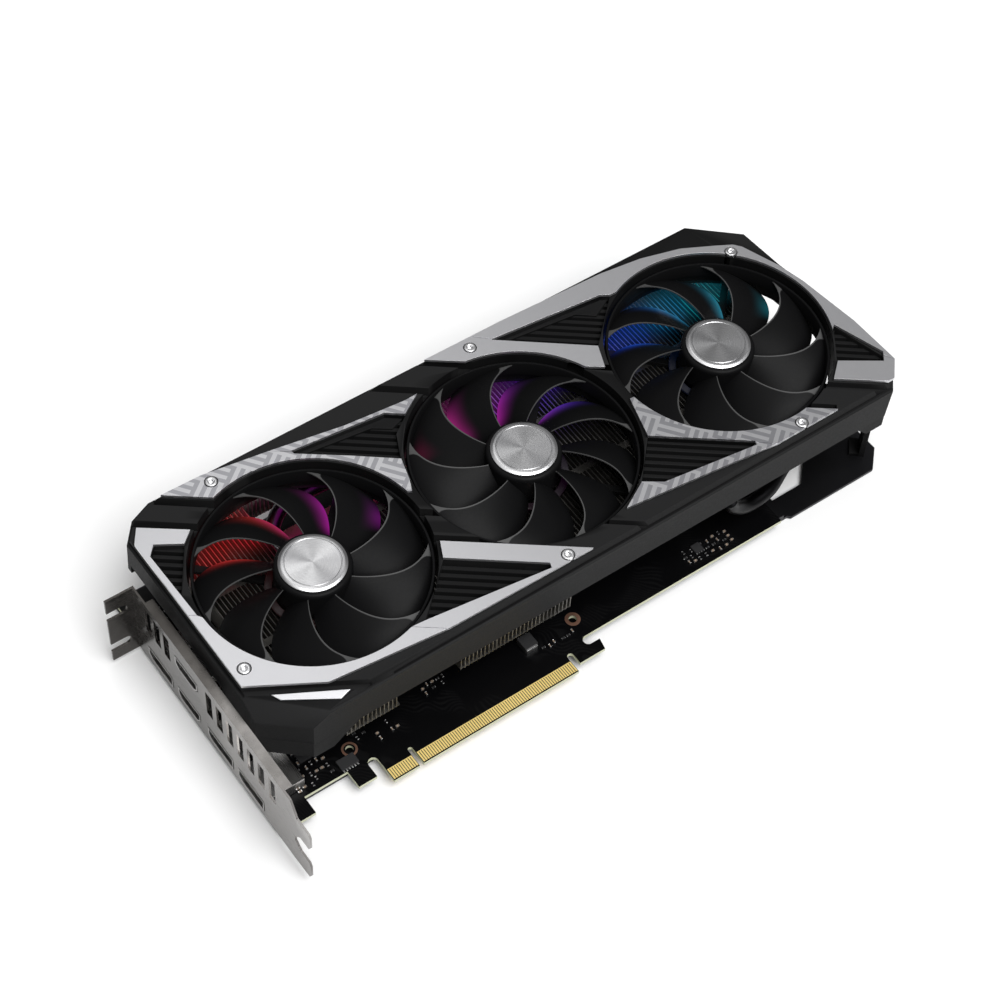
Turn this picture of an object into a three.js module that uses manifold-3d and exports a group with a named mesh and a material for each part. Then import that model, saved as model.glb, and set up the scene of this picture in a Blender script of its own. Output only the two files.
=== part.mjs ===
import * as THREE from "three";
import { mergeVertices } from "three/addons/utils/BufferGeometryUtils.js";
import Module from "manifold-3d";

// Triple-fan graphics card. Millimetres, +Z up (fans up, backplate down).
// Card datum while modelling: x = 0 at the centre of the key notch of the edge connector, y = 0 at
// the free edge of the gold contacts, z = 0 on the fan side of the circuit board. +X runs to the tail.
const wasm = await Module();
wasm.setup();

// ---- driving dimensions ----
const INNER_DATUM = 57.15; // key notch to the inner face of the bracket (card standard)
const SHEET = 0.86; // bracket sheet
const BRACKET_X = -INNER_DATUM - SHEET;
const BRACKET_TIP_Y = -14.96;
const BRACKET_TOP_Y = 105.06;
const BRACKET_Z0 = -3.71;
const BRACKET_Z1 = 35.03;
const TAB_DEPTH = 11.43;
const SLOT_PITCH = 20.32;
const TAIL_X = 242.85;
const CARD_TOP_Y = 133.6;
const BACK_Z = -5.7;
const TOP_Z = 48.0;
const BOARD_T = 1.57;
const FIT = 0.3; // air left between neighbouring pieces
const SEAT = 0.05; // air under a piece that is soldered or glued down

const FAN_X = [-0.6, 94.95, 190.5];
const FAN_Y = 70.95;
const FAN_SPIN = [1, -1, 1]; // the middle fan is a mirror image
const BLADES = 9;
const OPENING_R = 46.0;
const COLLAR_R = 47.4;
const RING_R = 44.8;
const RING_IN_R = 43.7;
const HUB_R = 14.8;
const CAP_R = 13.0;
const SHAFT_R = 1.25;
const RING_Z0 = 36.6;
const RING_Z1 = 43.3;
const HUB_Z0 = 31.8;
const HUB_Z1 = 44.4;
const CAP_Z1 = 45.6;

const SHROUD_Z0 = 26.0;
const CREASE_Z = 42.3;
const LEDGE_Z = 43.0;
const SHROUD_Z1 = 46.1;
const ROOF_Z = 39.0;
const WALL = 2.2;
const PLATE_Z0 = 46.4;
const PLATE_Z1 = 47.6;
const POCKET_Z = 41.4;
const RIB_Z = 44.4;
const RIB_PITCH = 3.4;
const RIB_W = 1.3;
const SLANT = THREE.MathUtils.degToRad(-37.5); // direction of every diagonal groove and rib

const FIN_Z0 = 13.7;
const FIN_Z1 = 27.0;
const FIN_Y0 = 24.0;
const FIN_NEAR_Y = 18.6;
const FIN_PITCH = 3.6;
const FIN_T = 0.8;
const PIPE_R = 3.0;
const PIPE_Z = 10.35;
const PLATE_TOP = 7.0; // top of the cold plate

const SCREWS = [
  [-12.8, 121.5],
  [-46.3, 44.7],
  [105.6, 121.8],
  [78.1, 20.5],
  [224.3, 105.0],
  [190.6, 20.2],
];

// ---- materials ----
const paint = (color, metalness, roughness) =>
  new THREE.MeshStandardMaterial({ color, metalness, roughness });
const SHROUD_BLACK = () => paint(0x4a4a4c, 0.1, 0.5);
const BLACK_PLASTIC = () => paint(0x232325, 0.0, 0.5);
const BLADE_BLACK = () => paint(0x333336, 0.0, 0.42);
const SILVER = () => paint(0xd9dade, 0.55, 0.35);
const NICKEL = () => paint(0xb9b6b0, 0.9, 0.28);
const ALUMINIUM = () => paint(0xa9abb0, 0.9, 0.35);
const COPPER = () => paint(0xb9775a, 0.9, 0.35);
const GOLD = () => paint(0xcda668, 0.9, 0.3);
const MASK_BLACK = () => paint(0x17181a, 0.0, 0.45);
const LIGHT_GUIDE = () => paint(0xf2eff4, 0.0, 0.5);

// ---- helpers ----
const group = new THREE.Group();
group.name = "graphics_card";

function add(name, geometry, material) {
  const mesh = new THREE.Mesh(geometry, material);
  mesh.name = name;
  group.add(mesh);
}

// three.js geometry -> solid for joining and cutting
function solid(geometry) {
  const plain = geometry.clone();
  plain.deleteAttribute("normal");
  plain.deleteAttribute("uv");
  const merged = mergeVertices(plain, 1e-4);
  return new wasm.Manifold(
    new wasm.Mesh({
      numProp: 3,
      vertProperties: new Float32Array(merged.attributes.position.array),
      triVerts: new Uint32Array(merged.index.array),
    }),
  );
}

function shaped(manifold) {
  const mesh = manifold.getMesh();
  const geometry = new THREE.BufferGeometry();
  geometry.setAttribute("position", new THREE.BufferAttribute(mesh.vertProperties, 3));
  geometry.setIndex(new THREE.BufferAttribute(mesh.triVerts, 1));
  const flat = geometry.toNonIndexed();
  flat.computeVertexNormals();
  return flat;
}

function box(x0, x1, y0, y1, z0, z1) {
  return new THREE.BoxGeometry(x1 - x0, y1 - y0, z1 - z0).translate(
    (x0 + x1) / 2,
    (y0 + y1) / 2,
    (z0 + z1) / 2,
  );
}

function outline(points) {
  return new THREE.Shape(points.map(([x, y]) => new THREE.Vector2(x, y)));
}

// flat piece lying in XY, between two heights
function slab(shape, z0, z1, curveSegments = 24) {
  return new THREE.ExtrudeGeometry(shape, {
    depth: z1 - z0,
    bevelEnabled: false,
    curveSegments,
  }).translate(0, 0, z0);
}

// flat piece standing in YZ: shape x -> world y, shape y -> world z
function standing(shape, x0, x1) {
  const geometry = slab(shape, x0, x1);
  const turn = new THREE.Matrix4().set(0, 0, 1, 0, 1, 0, 0, 0, 0, 1, 0, 0, 0, 0, 0, 1);
  return geometry.applyMatrix4(turn);
}

// flat piece standing in XZ: shape x -> world x, shape y -> world z
function fence(shape, y0, y1) {
  return slab(shape, -y1, -y0).rotateX(Math.PI / 2);
}

// piece turned about a vertical axis: profile of [radius, height], from its lowest point upwards
function turned(profile, x, y, segments = 32) {
  const points = profile.map(([r, z]) => new THREE.Vector2(r, z));
  return new THREE.LatheGeometry(points, segments).rotateX(Math.PI / 2).translate(x, y, 0);
}

function rod(x, y, radius, z0, z1, segments = 20) {
  const profile = [
    [0, z0],
    [radius, z0],
    [radius, z1],
    [0, z1],
  ];
  return turned(profile, x, y, segments);
}

// long box along the common slant, centred on (x, y)
function slantBox(x, y, length, width, z0, z1) {
  return box(-length / 2, length / 2, -width / 2, width / 2, z0, z1)
    .rotateZ(SLANT)
    .translate(x, y, 0);
}

// box between two points in plan
function beam([xa, ya], [xb, yb], width, z0, z1) {
  const length = Math.hypot(xb - xa, yb - ya);
  return box(0, length, -width / 2, width / 2, z0, z1)
    .rotateZ(Math.atan2(yb - ya, xb - xa))
    .translate(xa, ya, 0);
}

// skin over stacked outlines that all have the same number of points
function loft(sections) {
  const count = sections[0].points.length;
  const position = [];
  for (const { z, points } of sections) {
    for (const [x, y] of points) position.push(x, y, z);
  }
  const index = [];
  for (let level = 0; level < sections.length - 1; level += 1) {
    for (let i = 0; i < count; i += 1) {
      const a = level * count + i;
      const b = level * count + ((i + 1) % count);
      index.push(a, b, b + count, a, b + count, a + count);
    }
  }
  const cap = (level) => {
    const flat = sections[level].points.map(([x, y]) => new THREE.Vector2(x, y));
    return THREE.ShapeUtils.triangulateShape(flat, []).map((tri) =>
      tri.map((corner) => corner + level * count),
    );
  };
  for (const [a, b, c] of cap(0)) index.push(a, c, b);
  for (const [a, b, c] of cap(sections.length - 1)) index.push(a, b, c);
  const geometry = new THREE.BufferGeometry();
  geometry.setAttribute("position", new THREE.Float32BufferAttribute(position, 3));
  geometry.setIndex(index);
  return geometry.toNonIndexed();
}

// moves every side of a counter-clockwise outline inwards
function inset(points, distance) {
  const count = points.length;
  return points.map(([x, y], i) => {
    const [px, py] = points[(i + count - 1) % count];
    const [nx, ny] = points[(i + 1) % count];
    const before = new THREE.Vector2(x - px, y - py).normalize();
    const after = new THREE.Vector2(nx - x, ny - y).normalize();
    const bisector = new THREE.Vector2(-before.y - after.y, before.x + after.x);
    const scale = (2 * distance) / bisector.lengthSq();
    return [x + bisector.x * scale, y + bisector.y * scale];
  });
}

const joined = (first, ...rest) => rest.reduce((sum, next) => sum.add(next), first);

// ---- circuit board and its contacts ----
function circuitBoard() {
  const edge = 12.2;
  const lower = 11.5;
  const shape = new THREE.Shape();
  shape.moveTo(-INNER_DATUM + FIT, 124.6);
  shape.lineTo(-INNER_DATUM + FIT, 5);
  shape.lineTo(-43, 5);
  shape.lineTo(-43, 12.7);
  shape.lineTo(-24.3, 12.7);
  shape.lineTo(-24.3, 5);
  shape.lineTo(-16.4, 5);
  shape.lineTo(-16.4, 10.6);
  shape.absarc(-14.3, 10.6, 2.1, Math.PI, 0, true);
  shape.lineTo(-edge, 10.6);
  shape.lineTo(-edge, 0);
  shape.lineTo(-0.95, 0);
  shape.lineTo(-0.95, 7.6);
  shape.absarc(0, 7.6, 0.95, Math.PI, 0, true);
  shape.lineTo(0.95, 0);
  shape.lineTo(72.15, 0);
  shape.lineTo(72.15, 7.1);
  shape.absarc(73.45, 7.1, 1.3, Math.PI, 0, true);
  shape.lineTo(74.75, 2.6);
  shape.lineTo(86.6, 2.6);
  shape.lineTo(87.6, 7.4);
  shape.lineTo(83.6, 7.4);
  shape.absarc(83.6, 9.45, 2.05, -Math.PI / 2, Math.PI / 2, true);
  shape.lineTo(182, lower);
  shape.lineTo(182, 118);
  shape.lineTo(175.4, 124.6);
  const board = solid(slab(shape, -BOARD_T, 0, 8));
  const holes = [
    [-18.5, 20.2, 1.6],
    [84.3, 20.3, 1.6],
    [-50.4, 8.2, 1.1],
    [150, 90, 1.6],
  ].map(([x, y, r]) => solid(rod(x, y, r, -BOARD_T - 1, 1, 16)));
  return shaped(holes.reduce((body, hole) => body.subtract(hole), board));
}

// row of gold fingers held together by a hair-thin plating bar above them
function contacts(x0, count, z0, z1) {
  const points = [[x0, 5.3]];
  for (let i = 0; i < count; i += 1) {
    const left = x0 + i;
    points.push([left, 0.5], [left + 0.72, 0.5], [left + 0.72, 5.0]);
    if (i < count - 1) points.push([left + 1, 5.0]);
  }
  points.push([x0 + count - 0.28, 5.3]);
  return slab(outline(points), z0, z1);
}

add("circuit_board", circuitBoard(), MASK_BLACK());
const FRONT_GOLD = [SEAT, 0.12];
const REAR_GOLD = [-BOARD_T - 0.12, -BOARD_T - SEAT];
add("contacts_front_short", contacts(-11.9, 11, ...FRONT_GOLD), GOLD());
add("contacts_front_long", contacts(1.2, 71, ...FRONT_GOLD), GOLD());
add("contacts_rear_short", box(-11.9, -1.2, 0.5, 5.3, ...REAR_GOLD), GOLD());
add("contacts_rear_long", box(1.2, 71.9, 0.5, 5.3, ...REAR_GOLD), GOLD());

// ---- bracket and sockets ----
const SOCKET = { width: 17.0, height: 6.0, z: 3.3, depth: 17.5 };
const HDMI_W = 15.2;
const HDMI_Y = 67.2;
const HDMI_UPPER_Z = 24.3;
const DP_Y = [24.4, 45.3, 87.6];

// socket front: a rectangle with cut lower corners, as (y, z)
function socketFront(y, z, width, height, leftCut, rightCut) {
  return outline([
    [y - width / 2 + leftCut, z - height / 2],
    [y + width / 2 - rightCut, z - height / 2],
    [y + width / 2, z - height / 2 + rightCut],
    [y + width / 2, z + height / 2],
    [y - width / 2, z + height / 2],
    [y - width / 2, z - height / 2 + leftCut],
  ]);
}

function ioBracket() {
  const tip = BRACKET_TIP_Y;
  const tongue = 10.19;
  const low = BRACKET_Z0 + 0.6;
  const next = low + SLOT_PITCH;
  const plan = outline([
    [BRACKET_TOP_Y, BRACKET_Z0],
    [BRACKET_TOP_Y, BRACKET_Z1],
    [-2.5, BRACKET_Z1],
    [-6.5, next + tongue],
    [tip + 1, next + tongue],
    [tip, next + tongue - 2],
    [tip, next + 2],
    [tip + 1, next],
    [-8.5, next],
    [-5, next - 4],
    [-5, low + tongue + 3],
    [-8.5, low + tongue],
    [tip + 1, low + tongue],
    [tip, low + tongue - 2],
    [tip, low + 2],
    [tip + 1, low],
    [-5, BRACKET_Z0],
  ]);
  let body = solid(standing(plan, BRACKET_X, BRACKET_X + SHEET));
  const tab = box(
    BRACKET_X - TAB_DEPTH,
    BRACKET_X + SHEET,
    BRACKET_TOP_Y - SHEET,
    BRACKET_TOP_Y,
    BRACKET_Z0,
    BRACKET_Z1,
  );
  const flange = box(
    BRACKET_X,
    BRACKET_X + 4,
    2,
    96,
    BRACKET_Z1 - SHEET,
    BRACKET_Z1,
  );
  body = body.add(solid(tab)).add(solid(flange));
  const cuts = [];
  const socketCut = (shape) => cuts.push(solid(standing(shape, BRACKET_X - 1, BRACKET_X + 3)));
  const room = 2 * FIT;
  for (const y of DP_Y) {
    socketCut(socketFront(y, SOCKET.z, SOCKET.width + room, SOCKET.height + room, 0.1, 2));
  }
  for (const z of [SOCKET.z, HDMI_UPPER_Z]) {
    socketCut(socketFront(HDMI_Y, z, HDMI_W + room, SOCKET.height + room, 2, 2));
  }
  const vent = (y, z0, z1) => cuts.push(solid(box(BRACKET_X - 1, BRACKET_X + 3, y - 2, y + 2, z0, z1)));
  for (let i = 0; i < 7; i += 1) vent(9.5 + i * 7, 17, 31);
  for (let i = 0; i < 3; i += 1) vent(81 + i * 6.6, 18, 32);
  // open screw notches of the tab
  for (const z of [4.7, 4.7 + SLOT_PITCH]) {
    const centre = BRACKET_X - 5.1;
    cuts.push(solid(box(BRACKET_X - TAB_DEPTH - 1, centre, 100, 110, z - 2.2, z + 2.2)));
    cuts.push(solid(rod(centre, -z, 2.2, 100, 110, 16).rotateX(-Math.PI / 2)));
  }
  return shaped(cuts.reduce((sum, cut) => sum.subtract(cut), body));
}

function socketBody(y, z, width, leftCut, rightCut) {
  const front = BRACKET_X - 0.2;
  const { height, depth } = SOCKET;
  const shell = solid(
    standing(socketFront(y, z, width, height, leftCut, rightCut), front, front + depth),
  );
  const wall = 0.5;
  const mouth = socketFront(
    y,
    z,
    width - 2 * wall,
    height - 2 * wall,
    Math.max(leftCut - 0.2, 0.1),
    Math.max(rightCut - 0.2, 0.1),
  );
  const hollow = solid(standing(mouth, front - 1, front + depth - 4));
  const tongue = solid(
    box(front + 6, front + depth - 3, y - width / 2 + 2.5, y + width / 2 - 2.5, z - 0.1, z + 0.8),
  );
  return shell.subtract(hollow).add(tongue);
}

add("io_bracket", ioBracket(), NICKEL());
DP_Y.forEach((y, i) => {
  add(`display_port_${i + 1}`, shaped(socketBody(y, SOCKET.z, SOCKET.width, 0.1, 2)), NICKEL());
});
add("hdmi_port_lower", shaped(socketBody(HDMI_Y, SOCKET.z, HDMI_W, 2, 2)), NICKEL());
const socketEnd = BRACKET_X - 0.2 + SOCKET.depth;
const stackedLeg = solid(
  box(socketEnd + FIT, socketEnd + 5, HDMI_Y - 7, HDMI_Y + 7, SEAT, HDMI_UPPER_Z + 2.9),
);
const stackedArm = solid(
  box(socketEnd - 3, socketEnd + 4, HDMI_Y - 7, HDMI_Y + 7, HDMI_UPPER_Z - 2.8, HDMI_UPPER_Z + 2.8),
);
add(
  "hdmi_port_upper",
  shaped(joined(socketBody(HDMI_Y, HDMI_UPPER_Z, HDMI_W, 2, 2), stackedLeg, stackedArm)),
  NICKEL(),
);

// ---- parts soldered on the board ----
add("gpu_package", box(12, 50, 52, 90, SEAT, 1.5), paint(0x1d3a2a, 0, 0.5));
add("gpu_die", box(22, 40, 63, 79, 1.55, 2.35), paint(0x5b6066, 0.6, 0.15));
const MEMORY = [
  [54, 56],
  [54, 74],
  [16, 95],
  [34, 95],
];
MEMORY.forEach(([x, y], i) => {
  add(`memory_chip_${i + 1}`, box(x, x + 12, y, y + 14, SEAT, 1.3), BLACK_PLASTIC());
});
function choke(x, y) {
  const body = solid(box(x, x + 9, y, y + 9, SEAT, 6));
  const feet = solid(box(x - 0.8, x + 9.8, y + 2, y + 7, SEAT, 1));
  return shaped(body.add(feet));
}
[38, 58, 78].forEach((y, i) => add(`power_choke_${i + 1}`, choke(-24, y), paint(0x4b4b4d, 0.2, 0.6)));

// ---- cooler ----
function finStack(x0, x1, y0, y1) {
  const web = 1.2; // folded-over fin tops joined into one strip at the foot
  const points = [[x0, FIN_Z0]];
  const count = Math.floor((x1 - x0 - FIN_T) / FIN_PITCH);
  points.push([x0 + count * FIN_PITCH + FIN_T, FIN_Z0]);
  for (let i = count; i >= 0; i -= 1) {
    const left = x0 + i * FIN_PITCH;
    points.push([left + FIN_T, FIN_Z1], [left, FIN_Z1]);
    if (i > 0) points.push([left, FIN_Z0 + web], [left - FIN_PITCH + FIN_T, FIN_Z0 + web]);
  }
  return fence(outline(points), y0, y1);
}

function pipe(stations, segments) {
  const path = new THREE.CatmullRomCurve3(
    stations.map(([x, y, z]) => new THREE.Vector3(x, y, z)),
    false,
    "centripetal",
  );
  const ring = new THREE.Shape();
  ring.absarc(0, 0, PIPE_R, 0, 2 * Math.PI, false);
  return new THREE.ExtrudeGeometry(ring, {
    steps: segments,
    curveSegments: 5,
    bevelEnabled: false,
    extrudePath: path,
  });
}

const COLD_PLATE_Z0 = 2.4;
add("cold_plate", box(8, 70, 48, 113, COLD_PLATE_Z0, PLATE_TOP), COPPER());
// the front stack also reaches out under the near wall, and runs back on both sides of the outer pipe
function frontStack() {
  const x0 = -35;
  const [besidePipe, behindPipe] = [-1.6, 120];
  const step = (count) => x0 + count * FIN_PITCH;
  return shaped(
    joined(
      solid(finStack(x0, 82, FIN_Y0, 95)),
      solid(finStack(step(4), 2.2, FIN_NEAR_Y, FIN_Y0)),
      solid(finStack(step(18), 82, FIN_NEAR_Y, FIN_Y0)),
      solid(finStack(x0, besidePipe, 95, behindPipe)),
      solid(finStack(x0, 82, behindPipe, 126)),
    ),
  );
}
add("fin_stack_front", frontStack(), ALUMINIUM());
// the last fins at the tail are shorter on the far side
function rearStack() {
  return shaped(joined(solid(finStack(87, 227, FIN_Y0, 117.5)), solid(finStack(87, 206, 117, 126))));
}
add("fin_stack_rear", rearStack(), ALUMINIUM());
const PIPE_ROWS = [56, 68, 80];
PIPE_ROWS.forEach((y, i) => {
  const swing = 43 + i * 19;
  const stations = [
    [-34, y - 6, PIPE_Z],
    [0, y, PIPE_Z],
    [70, y, PIPE_Z],
    [120, swing, PIPE_Z],
    [222, swing, PIPE_Z],
  ];
  add(`heat_pipe_${i + 1}`, pipe(stations, 12), NICKEL());
});
// outer pipe: leaves the plate on the far side, loops up behind the front stack and comes back
add(
  "heat_pipe_4",
  pipe(
    [
      [66, 92, PIPE_Z],
      [34, 92, PIPE_Z],
      [12, 95.5, PIPE_Z],
      [3, 105, 13],
      [12, 115, 18],
      [36, 116, 19],
      [78, 116, 19],
    ],
    20,
  ),
  NICKEL(),
);
// near-side pipe with the bend that hangs below the shroud wall at the tail
add(
  "heat_pipe_5",
  pipe(
    [
      [215, 31, PIPE_Z],
      [196, 27.5, PIPE_Z],
      [181, 21, PIPE_Z],
      [168, 19.4, 11.5],
      [160.5, 19.4, 17],
      [158, 19.6, 22.6],
    ],
    16,
  ),
  NICKEL(),
);

// ---- backplate and tail post ----
function backplate() {
  const shape = outline([
    [-56.5, 14],
    [188, 14],
    [189.2, 12.8],
    [232.8, 12.8],
    [240.8, 20.8],
    [240.8, 118],
    [230.8, 128],
    [-56.5, 128],
  ]);
  const window = new THREE.Path();
  window.moveTo(188, 23.5);
  window.lineTo(188, 112);
  window.lineTo(220, 112);
  window.lineTo(228, 104);
  window.lineTo(228, 48.5);
  window.lineTo(203, 23.5);
  shape.holes.push(window);
  const sheet = solid(slab(shape, BACK_Z, BACK_Z + 1.4));
  // stiffening folds along both long edges, and the pillars that stand under the board
  const folds = [box(-40, 186, 14, 15.2, BACK_Z + 1, -2.2), box(-40, 222, 126.8, 128, BACK_Z + 1, -2.2)];
  const pillars = [
    [-18.5, 20.2],
    [84.3, 20.3],
    [150, 90],
  ].map(([x, y]) => rod(x, y, 3, BACK_Z + 1, -BOARD_T - SEAT, 16));
  return shaped(joined(sheet, ...[...folds, ...pillars].map(solid)));
}

// post in the near tail corner that holds the backplate off the shroud
function tailPost() {
  const foot = BACK_Z + 1.4 + SEAT;
  const stem = solid(beam([232.8, 20.4], [238.2, 26.6], 2.2, foot, ROOF_Z - SEAT));
  const pad = solid(beam([230.9, 22.1], [236.3, 28.3], 5, foot, foot + 1.6));
  return shaped(joined(stem, pad));
}

add("backplate", backplate(), paint(0x2b2c2f, 0.6, 0.45));
add("tail_post", tailPost(), BLACK_PLASTIC());

// ---- shroud ----
// outlines run counter-clockwise from the near left corner
const CREASE = [
  [-29.4, 15],
  [234.5, 15],
  [TAIL_X, 24.5],
  [242.0, 48.5],
  [240.2, 77],
  [238.6, 90],
  [237.5, 112.5],
  [219, 129.3],
  [-36, 129.3],
  [-45, 125.5],
  [-52, 117],
  [-52, 36.6],
];
// below FLARE_Z the near left facet stands out from the crease; the far wall leans out all the way
const FLARE_Z = 36.9;
const FLARE_NEAR = [-36.2, 15.8];
const FLARE_LEFT = [-52, 29.4];
const FAR_LEAN = CARD_TOP_Y - 129.3;
const NEAR_LEAN = 0.8;
function wallOutline(z) {
  const drop = (CREASE_Z - z) / (CREASE_Z - SHROUD_Z0);
  return CREASE.map(([x, y], i) => {
    if (i === 0) return FLARE_NEAR;
    if (i === CREASE.length - 1) return FLARE_LEFT;
    if (y > 110) return [x, y + FAR_LEAN * drop * Math.min(1, (y - 110) / 19.3)];
    if (y < 16) return [x, y + NEAR_LEAN * drop];
    return [x, y];
  });
}
const LEDGE = inset(CREASE, 1.1);
const TOP = [
  [-13.5, 17.4],
  [235.2, 17.4],
  [241.9, 25],
  [241.1, 48.5],
  [239.2, 77],
  [237.4, 89],
  [235.9, 110.6],
  [217.6, 126.8],
  [-37, 126.8],
  [-44.6, 123.4],
  [-51.1, 115.8],
  [-51.1, 40.2],
];

// pockets beside the fans, each floored with slanting ribs
const POCKETS = [
  [[20, 117.4], [20.2, 115.6], [52.2, 91.3], [58, 103], [65.7, 108.4], [59.3, 113.3]],
  [[-49, 104.6], [-45.3, 108.6], [-35.8, 102.7], [-48.4, 84]],
  [[18, 25.9], [69.7, 19.1], [70.4, 21.3], [39.2, 44.9]],
  [[114.6, 120.8], [148.3, 94.8], [168.6, 113.6], [165.2, 115.8]],
  [[121.5, 32], [128.7, 27.1], [169.2, 21.5], [169.8, 23.4], [137, 48.2]],
  [[222.9, 36.3], [238.2, 26.1], [240.4, 28.6], [234, 51.6]],
];
// grooves between the plates: start, end, width and, where they reach the rim, a higher floor
const GROOVE_RIM_Z = LEDGE_Z + 0.1;
const GROOVES = [
  [[-34.6, 126.4], [-14, 110.6], 3.2],
  [[-47, 122.4], [-26, 106.3], 3.0],
  [[-54, 39.6], [-12, 15.4], 3.4, GROOVE_RIM_Z],
  [[62, 127.5], [84, 110.6], 3.2],
  [[83, 129.5], [104, 113.4], 3.4],
  [[40, 56.6], [76, 29.6], 2.6],
  [[42, 69.6], [52, 61.9], 3.0],
  [[132, 95.0], [150, 81.2], 3.0],
  [[97.5, 27], [112.5, 15.5], 2.0, GROOVE_RIM_Z],
  [[208, 33], [234.5, 12.7], 3.4, GROOVE_RIM_Z],
  [[198, 27], [208, 19.3], 2.4],
];

function ribbedPocket(corners) {
  const cut = solid(slab(outline(corners), POCKET_Z, TOP_Z));
  const xs = corners.map((p) => p[0]);
  const ys = corners.map((p) => p[1]);
  const centre = [(Math.min(...xs) + Math.max(...xs)) / 2, (Math.min(...ys) + Math.max(...ys)) / 2];
  const span = Math.hypot(Math.max(...xs) - Math.min(...xs), Math.max(...ys) - Math.min(...ys));
  const across = [Math.sin(-SLANT), Math.cos(SLANT)];
  let ribs = cut;
  const half = Math.floor(span / 2 / RIB_PITCH);
  for (let i = -half; i <= half; i += 1) {
    const x = centre[0] + across[0] * (i + 0.5) * RIB_PITCH;
    const y = centre[1] + across[1] * (i + 0.5) * RIB_PITCH;
    ribs = ribs.subtract(solid(slantBox(x, y, 2 * span, RIB_W, POCKET_Z - 1, RIB_Z)));
  }
  return ribs;
}

function fanShroud() {
  let body = solid(
    loft([
      { z: SHROUD_Z0, points: wallOutline(SHROUD_Z0) },
      { z: FLARE_Z, points: wallOutline(FLARE_Z) },
      { z: CREASE_Z, points: CREASE },
      { z: LEDGE_Z, points: LEDGE },
      { z: SHROUD_Z1, points: TOP },
    ]),
  );
  const cavity = solid(slab(outline(inset(CREASE, WALL)), SHROUD_Z0 - 1, ROOF_Z));
  body = body.subtract(cavity);
  // collars round the fans
  for (const x of FAN_X) body = body.add(solid(rod(x, FAN_Y, COLLAR_R, 29.8, ROOF_Z + 1, 48)));
  for (const x of FAN_X) body = body.subtract(solid(rod(x, FAN_Y, OPENING_R, 20, TOP_Z + 1, 48)));
  // skirts that hang lower at the two near corners
  const skirts = [
    beam([-50.9, 52], [-50.9, 29.4], WALL, 18, SHROUD_Z0 + 1),
    beam([-51.3, 30.3], [-35.8, 16.7], WALL, 18, SHROUD_Z0 + 1),
    fence(
      outline([
        [-36.4, SHROUD_Z0 + 1],
        [-36.4, 17],
        [-27.6, 17],
        [-20.7, 22.6],
        [-14, SHROUD_Z0 + 1],
      ]),
      15.9,
      15.9 + WALL,
    ),
    fence(
      outline([
        [219.5, SHROUD_Z0 + 1],
        [226.5, 20],
        [234.6, 20],
        [234.6, SHROUD_Z0 + 1],
      ]),
      16,
      16 + WALL,
    ),
    beam([233.2, 16.2], [241.2, 25.3], WALL, 20, SHROUD_Z0 + 1),
    beam([241.6, 24.5], [240.9, 46], WALL, 20, SHROUD_Z0 + 1),
  ];
  body = joined(body, ...skirts.map(solid));
  // the wall beside the bracket stops higher, clear of the stacked socket
  body = body.subtract(solid(box(-60, -52 + WALL + 1, 52, 116, SHROUD_Z0 - 1, 30.5)));
  for (const [from, to, width, floor = POCKET_Z] of GROOVES) {
    body = body.subtract(solid(beam(from, to, width, floor, TOP_Z)));
  }
  for (const corners of POCKETS) body = body.subtract(ribbedPocket(corners));
  for (const [x, y] of SCREWS) body = body.subtract(solid(rod(x, y, 1.5, 41.5, TOP_Z, 12)));
  return shaped(body);
}
add("fan_shroud", fanShroud(), SHROUD_BLACK());

// ---- accent plates: polygons lying on the shroud, cut round the fan openings ----
const ACCENTS = {
  accent_plate_1: [
    [-31.6, 126.5], [-15.5, 114.4], [10, 113], [40, 92], [45.3, 77.2], [47.1, 76.5], [49.5, 82],
    [52.2, 91.3], [37, 103.1], [20, 115.6], [19.8, 117.4], [59.3, 113.3], [65.7, 108.4], [75.1, 114.1],
    [69.3, 113.9], [43.4, 116.4], [13.3, 121.8], [-14.7, 126.2],
  ],
  accent_plate_2: [
    [-51.0, 112.4], [-51.0, 39.0], [-24.6, 23.5], [23.5, 18.4], [87.7, 17.8], [42.6, 51.8],
    [39.2, 44.9], [70.4, 21.3], [69.7, 19.1], [18, 25.9], [11.8, 26.4], [0, 60], [-40, 60],
    [-48.3, 73.1], [-49, 104.6], [-45.3, 108.6], [-35.8, 102.7], [-30.7, 106.9], [-46.6, 118.6],
  ],
  accent_plate_3: [
    [87.1, 126.6], [103.1, 114.9], [120, 104], [139.2, 88], [144.1, 84.7], [148.3, 94.8],
    [114.6, 120.8], [165.2, 115.8], [168.6, 113.6], [190, 113], [205, 114], [207.8, 117.8],
    [190.7, 122.4], [172.1, 124.8], [123.7, 126.5],
  ],
  accent_plate_4: [
    [142.4, 66.5], [137, 48.2], [169.8, 23.4], [169.2, 21.5], [128.7, 27.1], [121.5, 32],
    [109.3, 25.4], [176.2, 17.6], [206.9, 17.6], [196.5, 25.2], [192, 40], [150, 66],
  ],
  accent_plate_5: [
    [207.8, 117.8], [205, 114], [225, 90], [229, 60], [226, 45], [234, 51.6], [241.2, 30],
    [238.2, 26.1], [222.9, 36.3], [215.5, 30.1], [233, 17.2], [235.9, 17.2], [242.6, 24.6],
    [242.2, 48.4], [238.8, 76.5], [235.9, 88.8], [229.9, 104.7], [227.5, 107.6], [220.9, 111.2],
  ],
};

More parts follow.
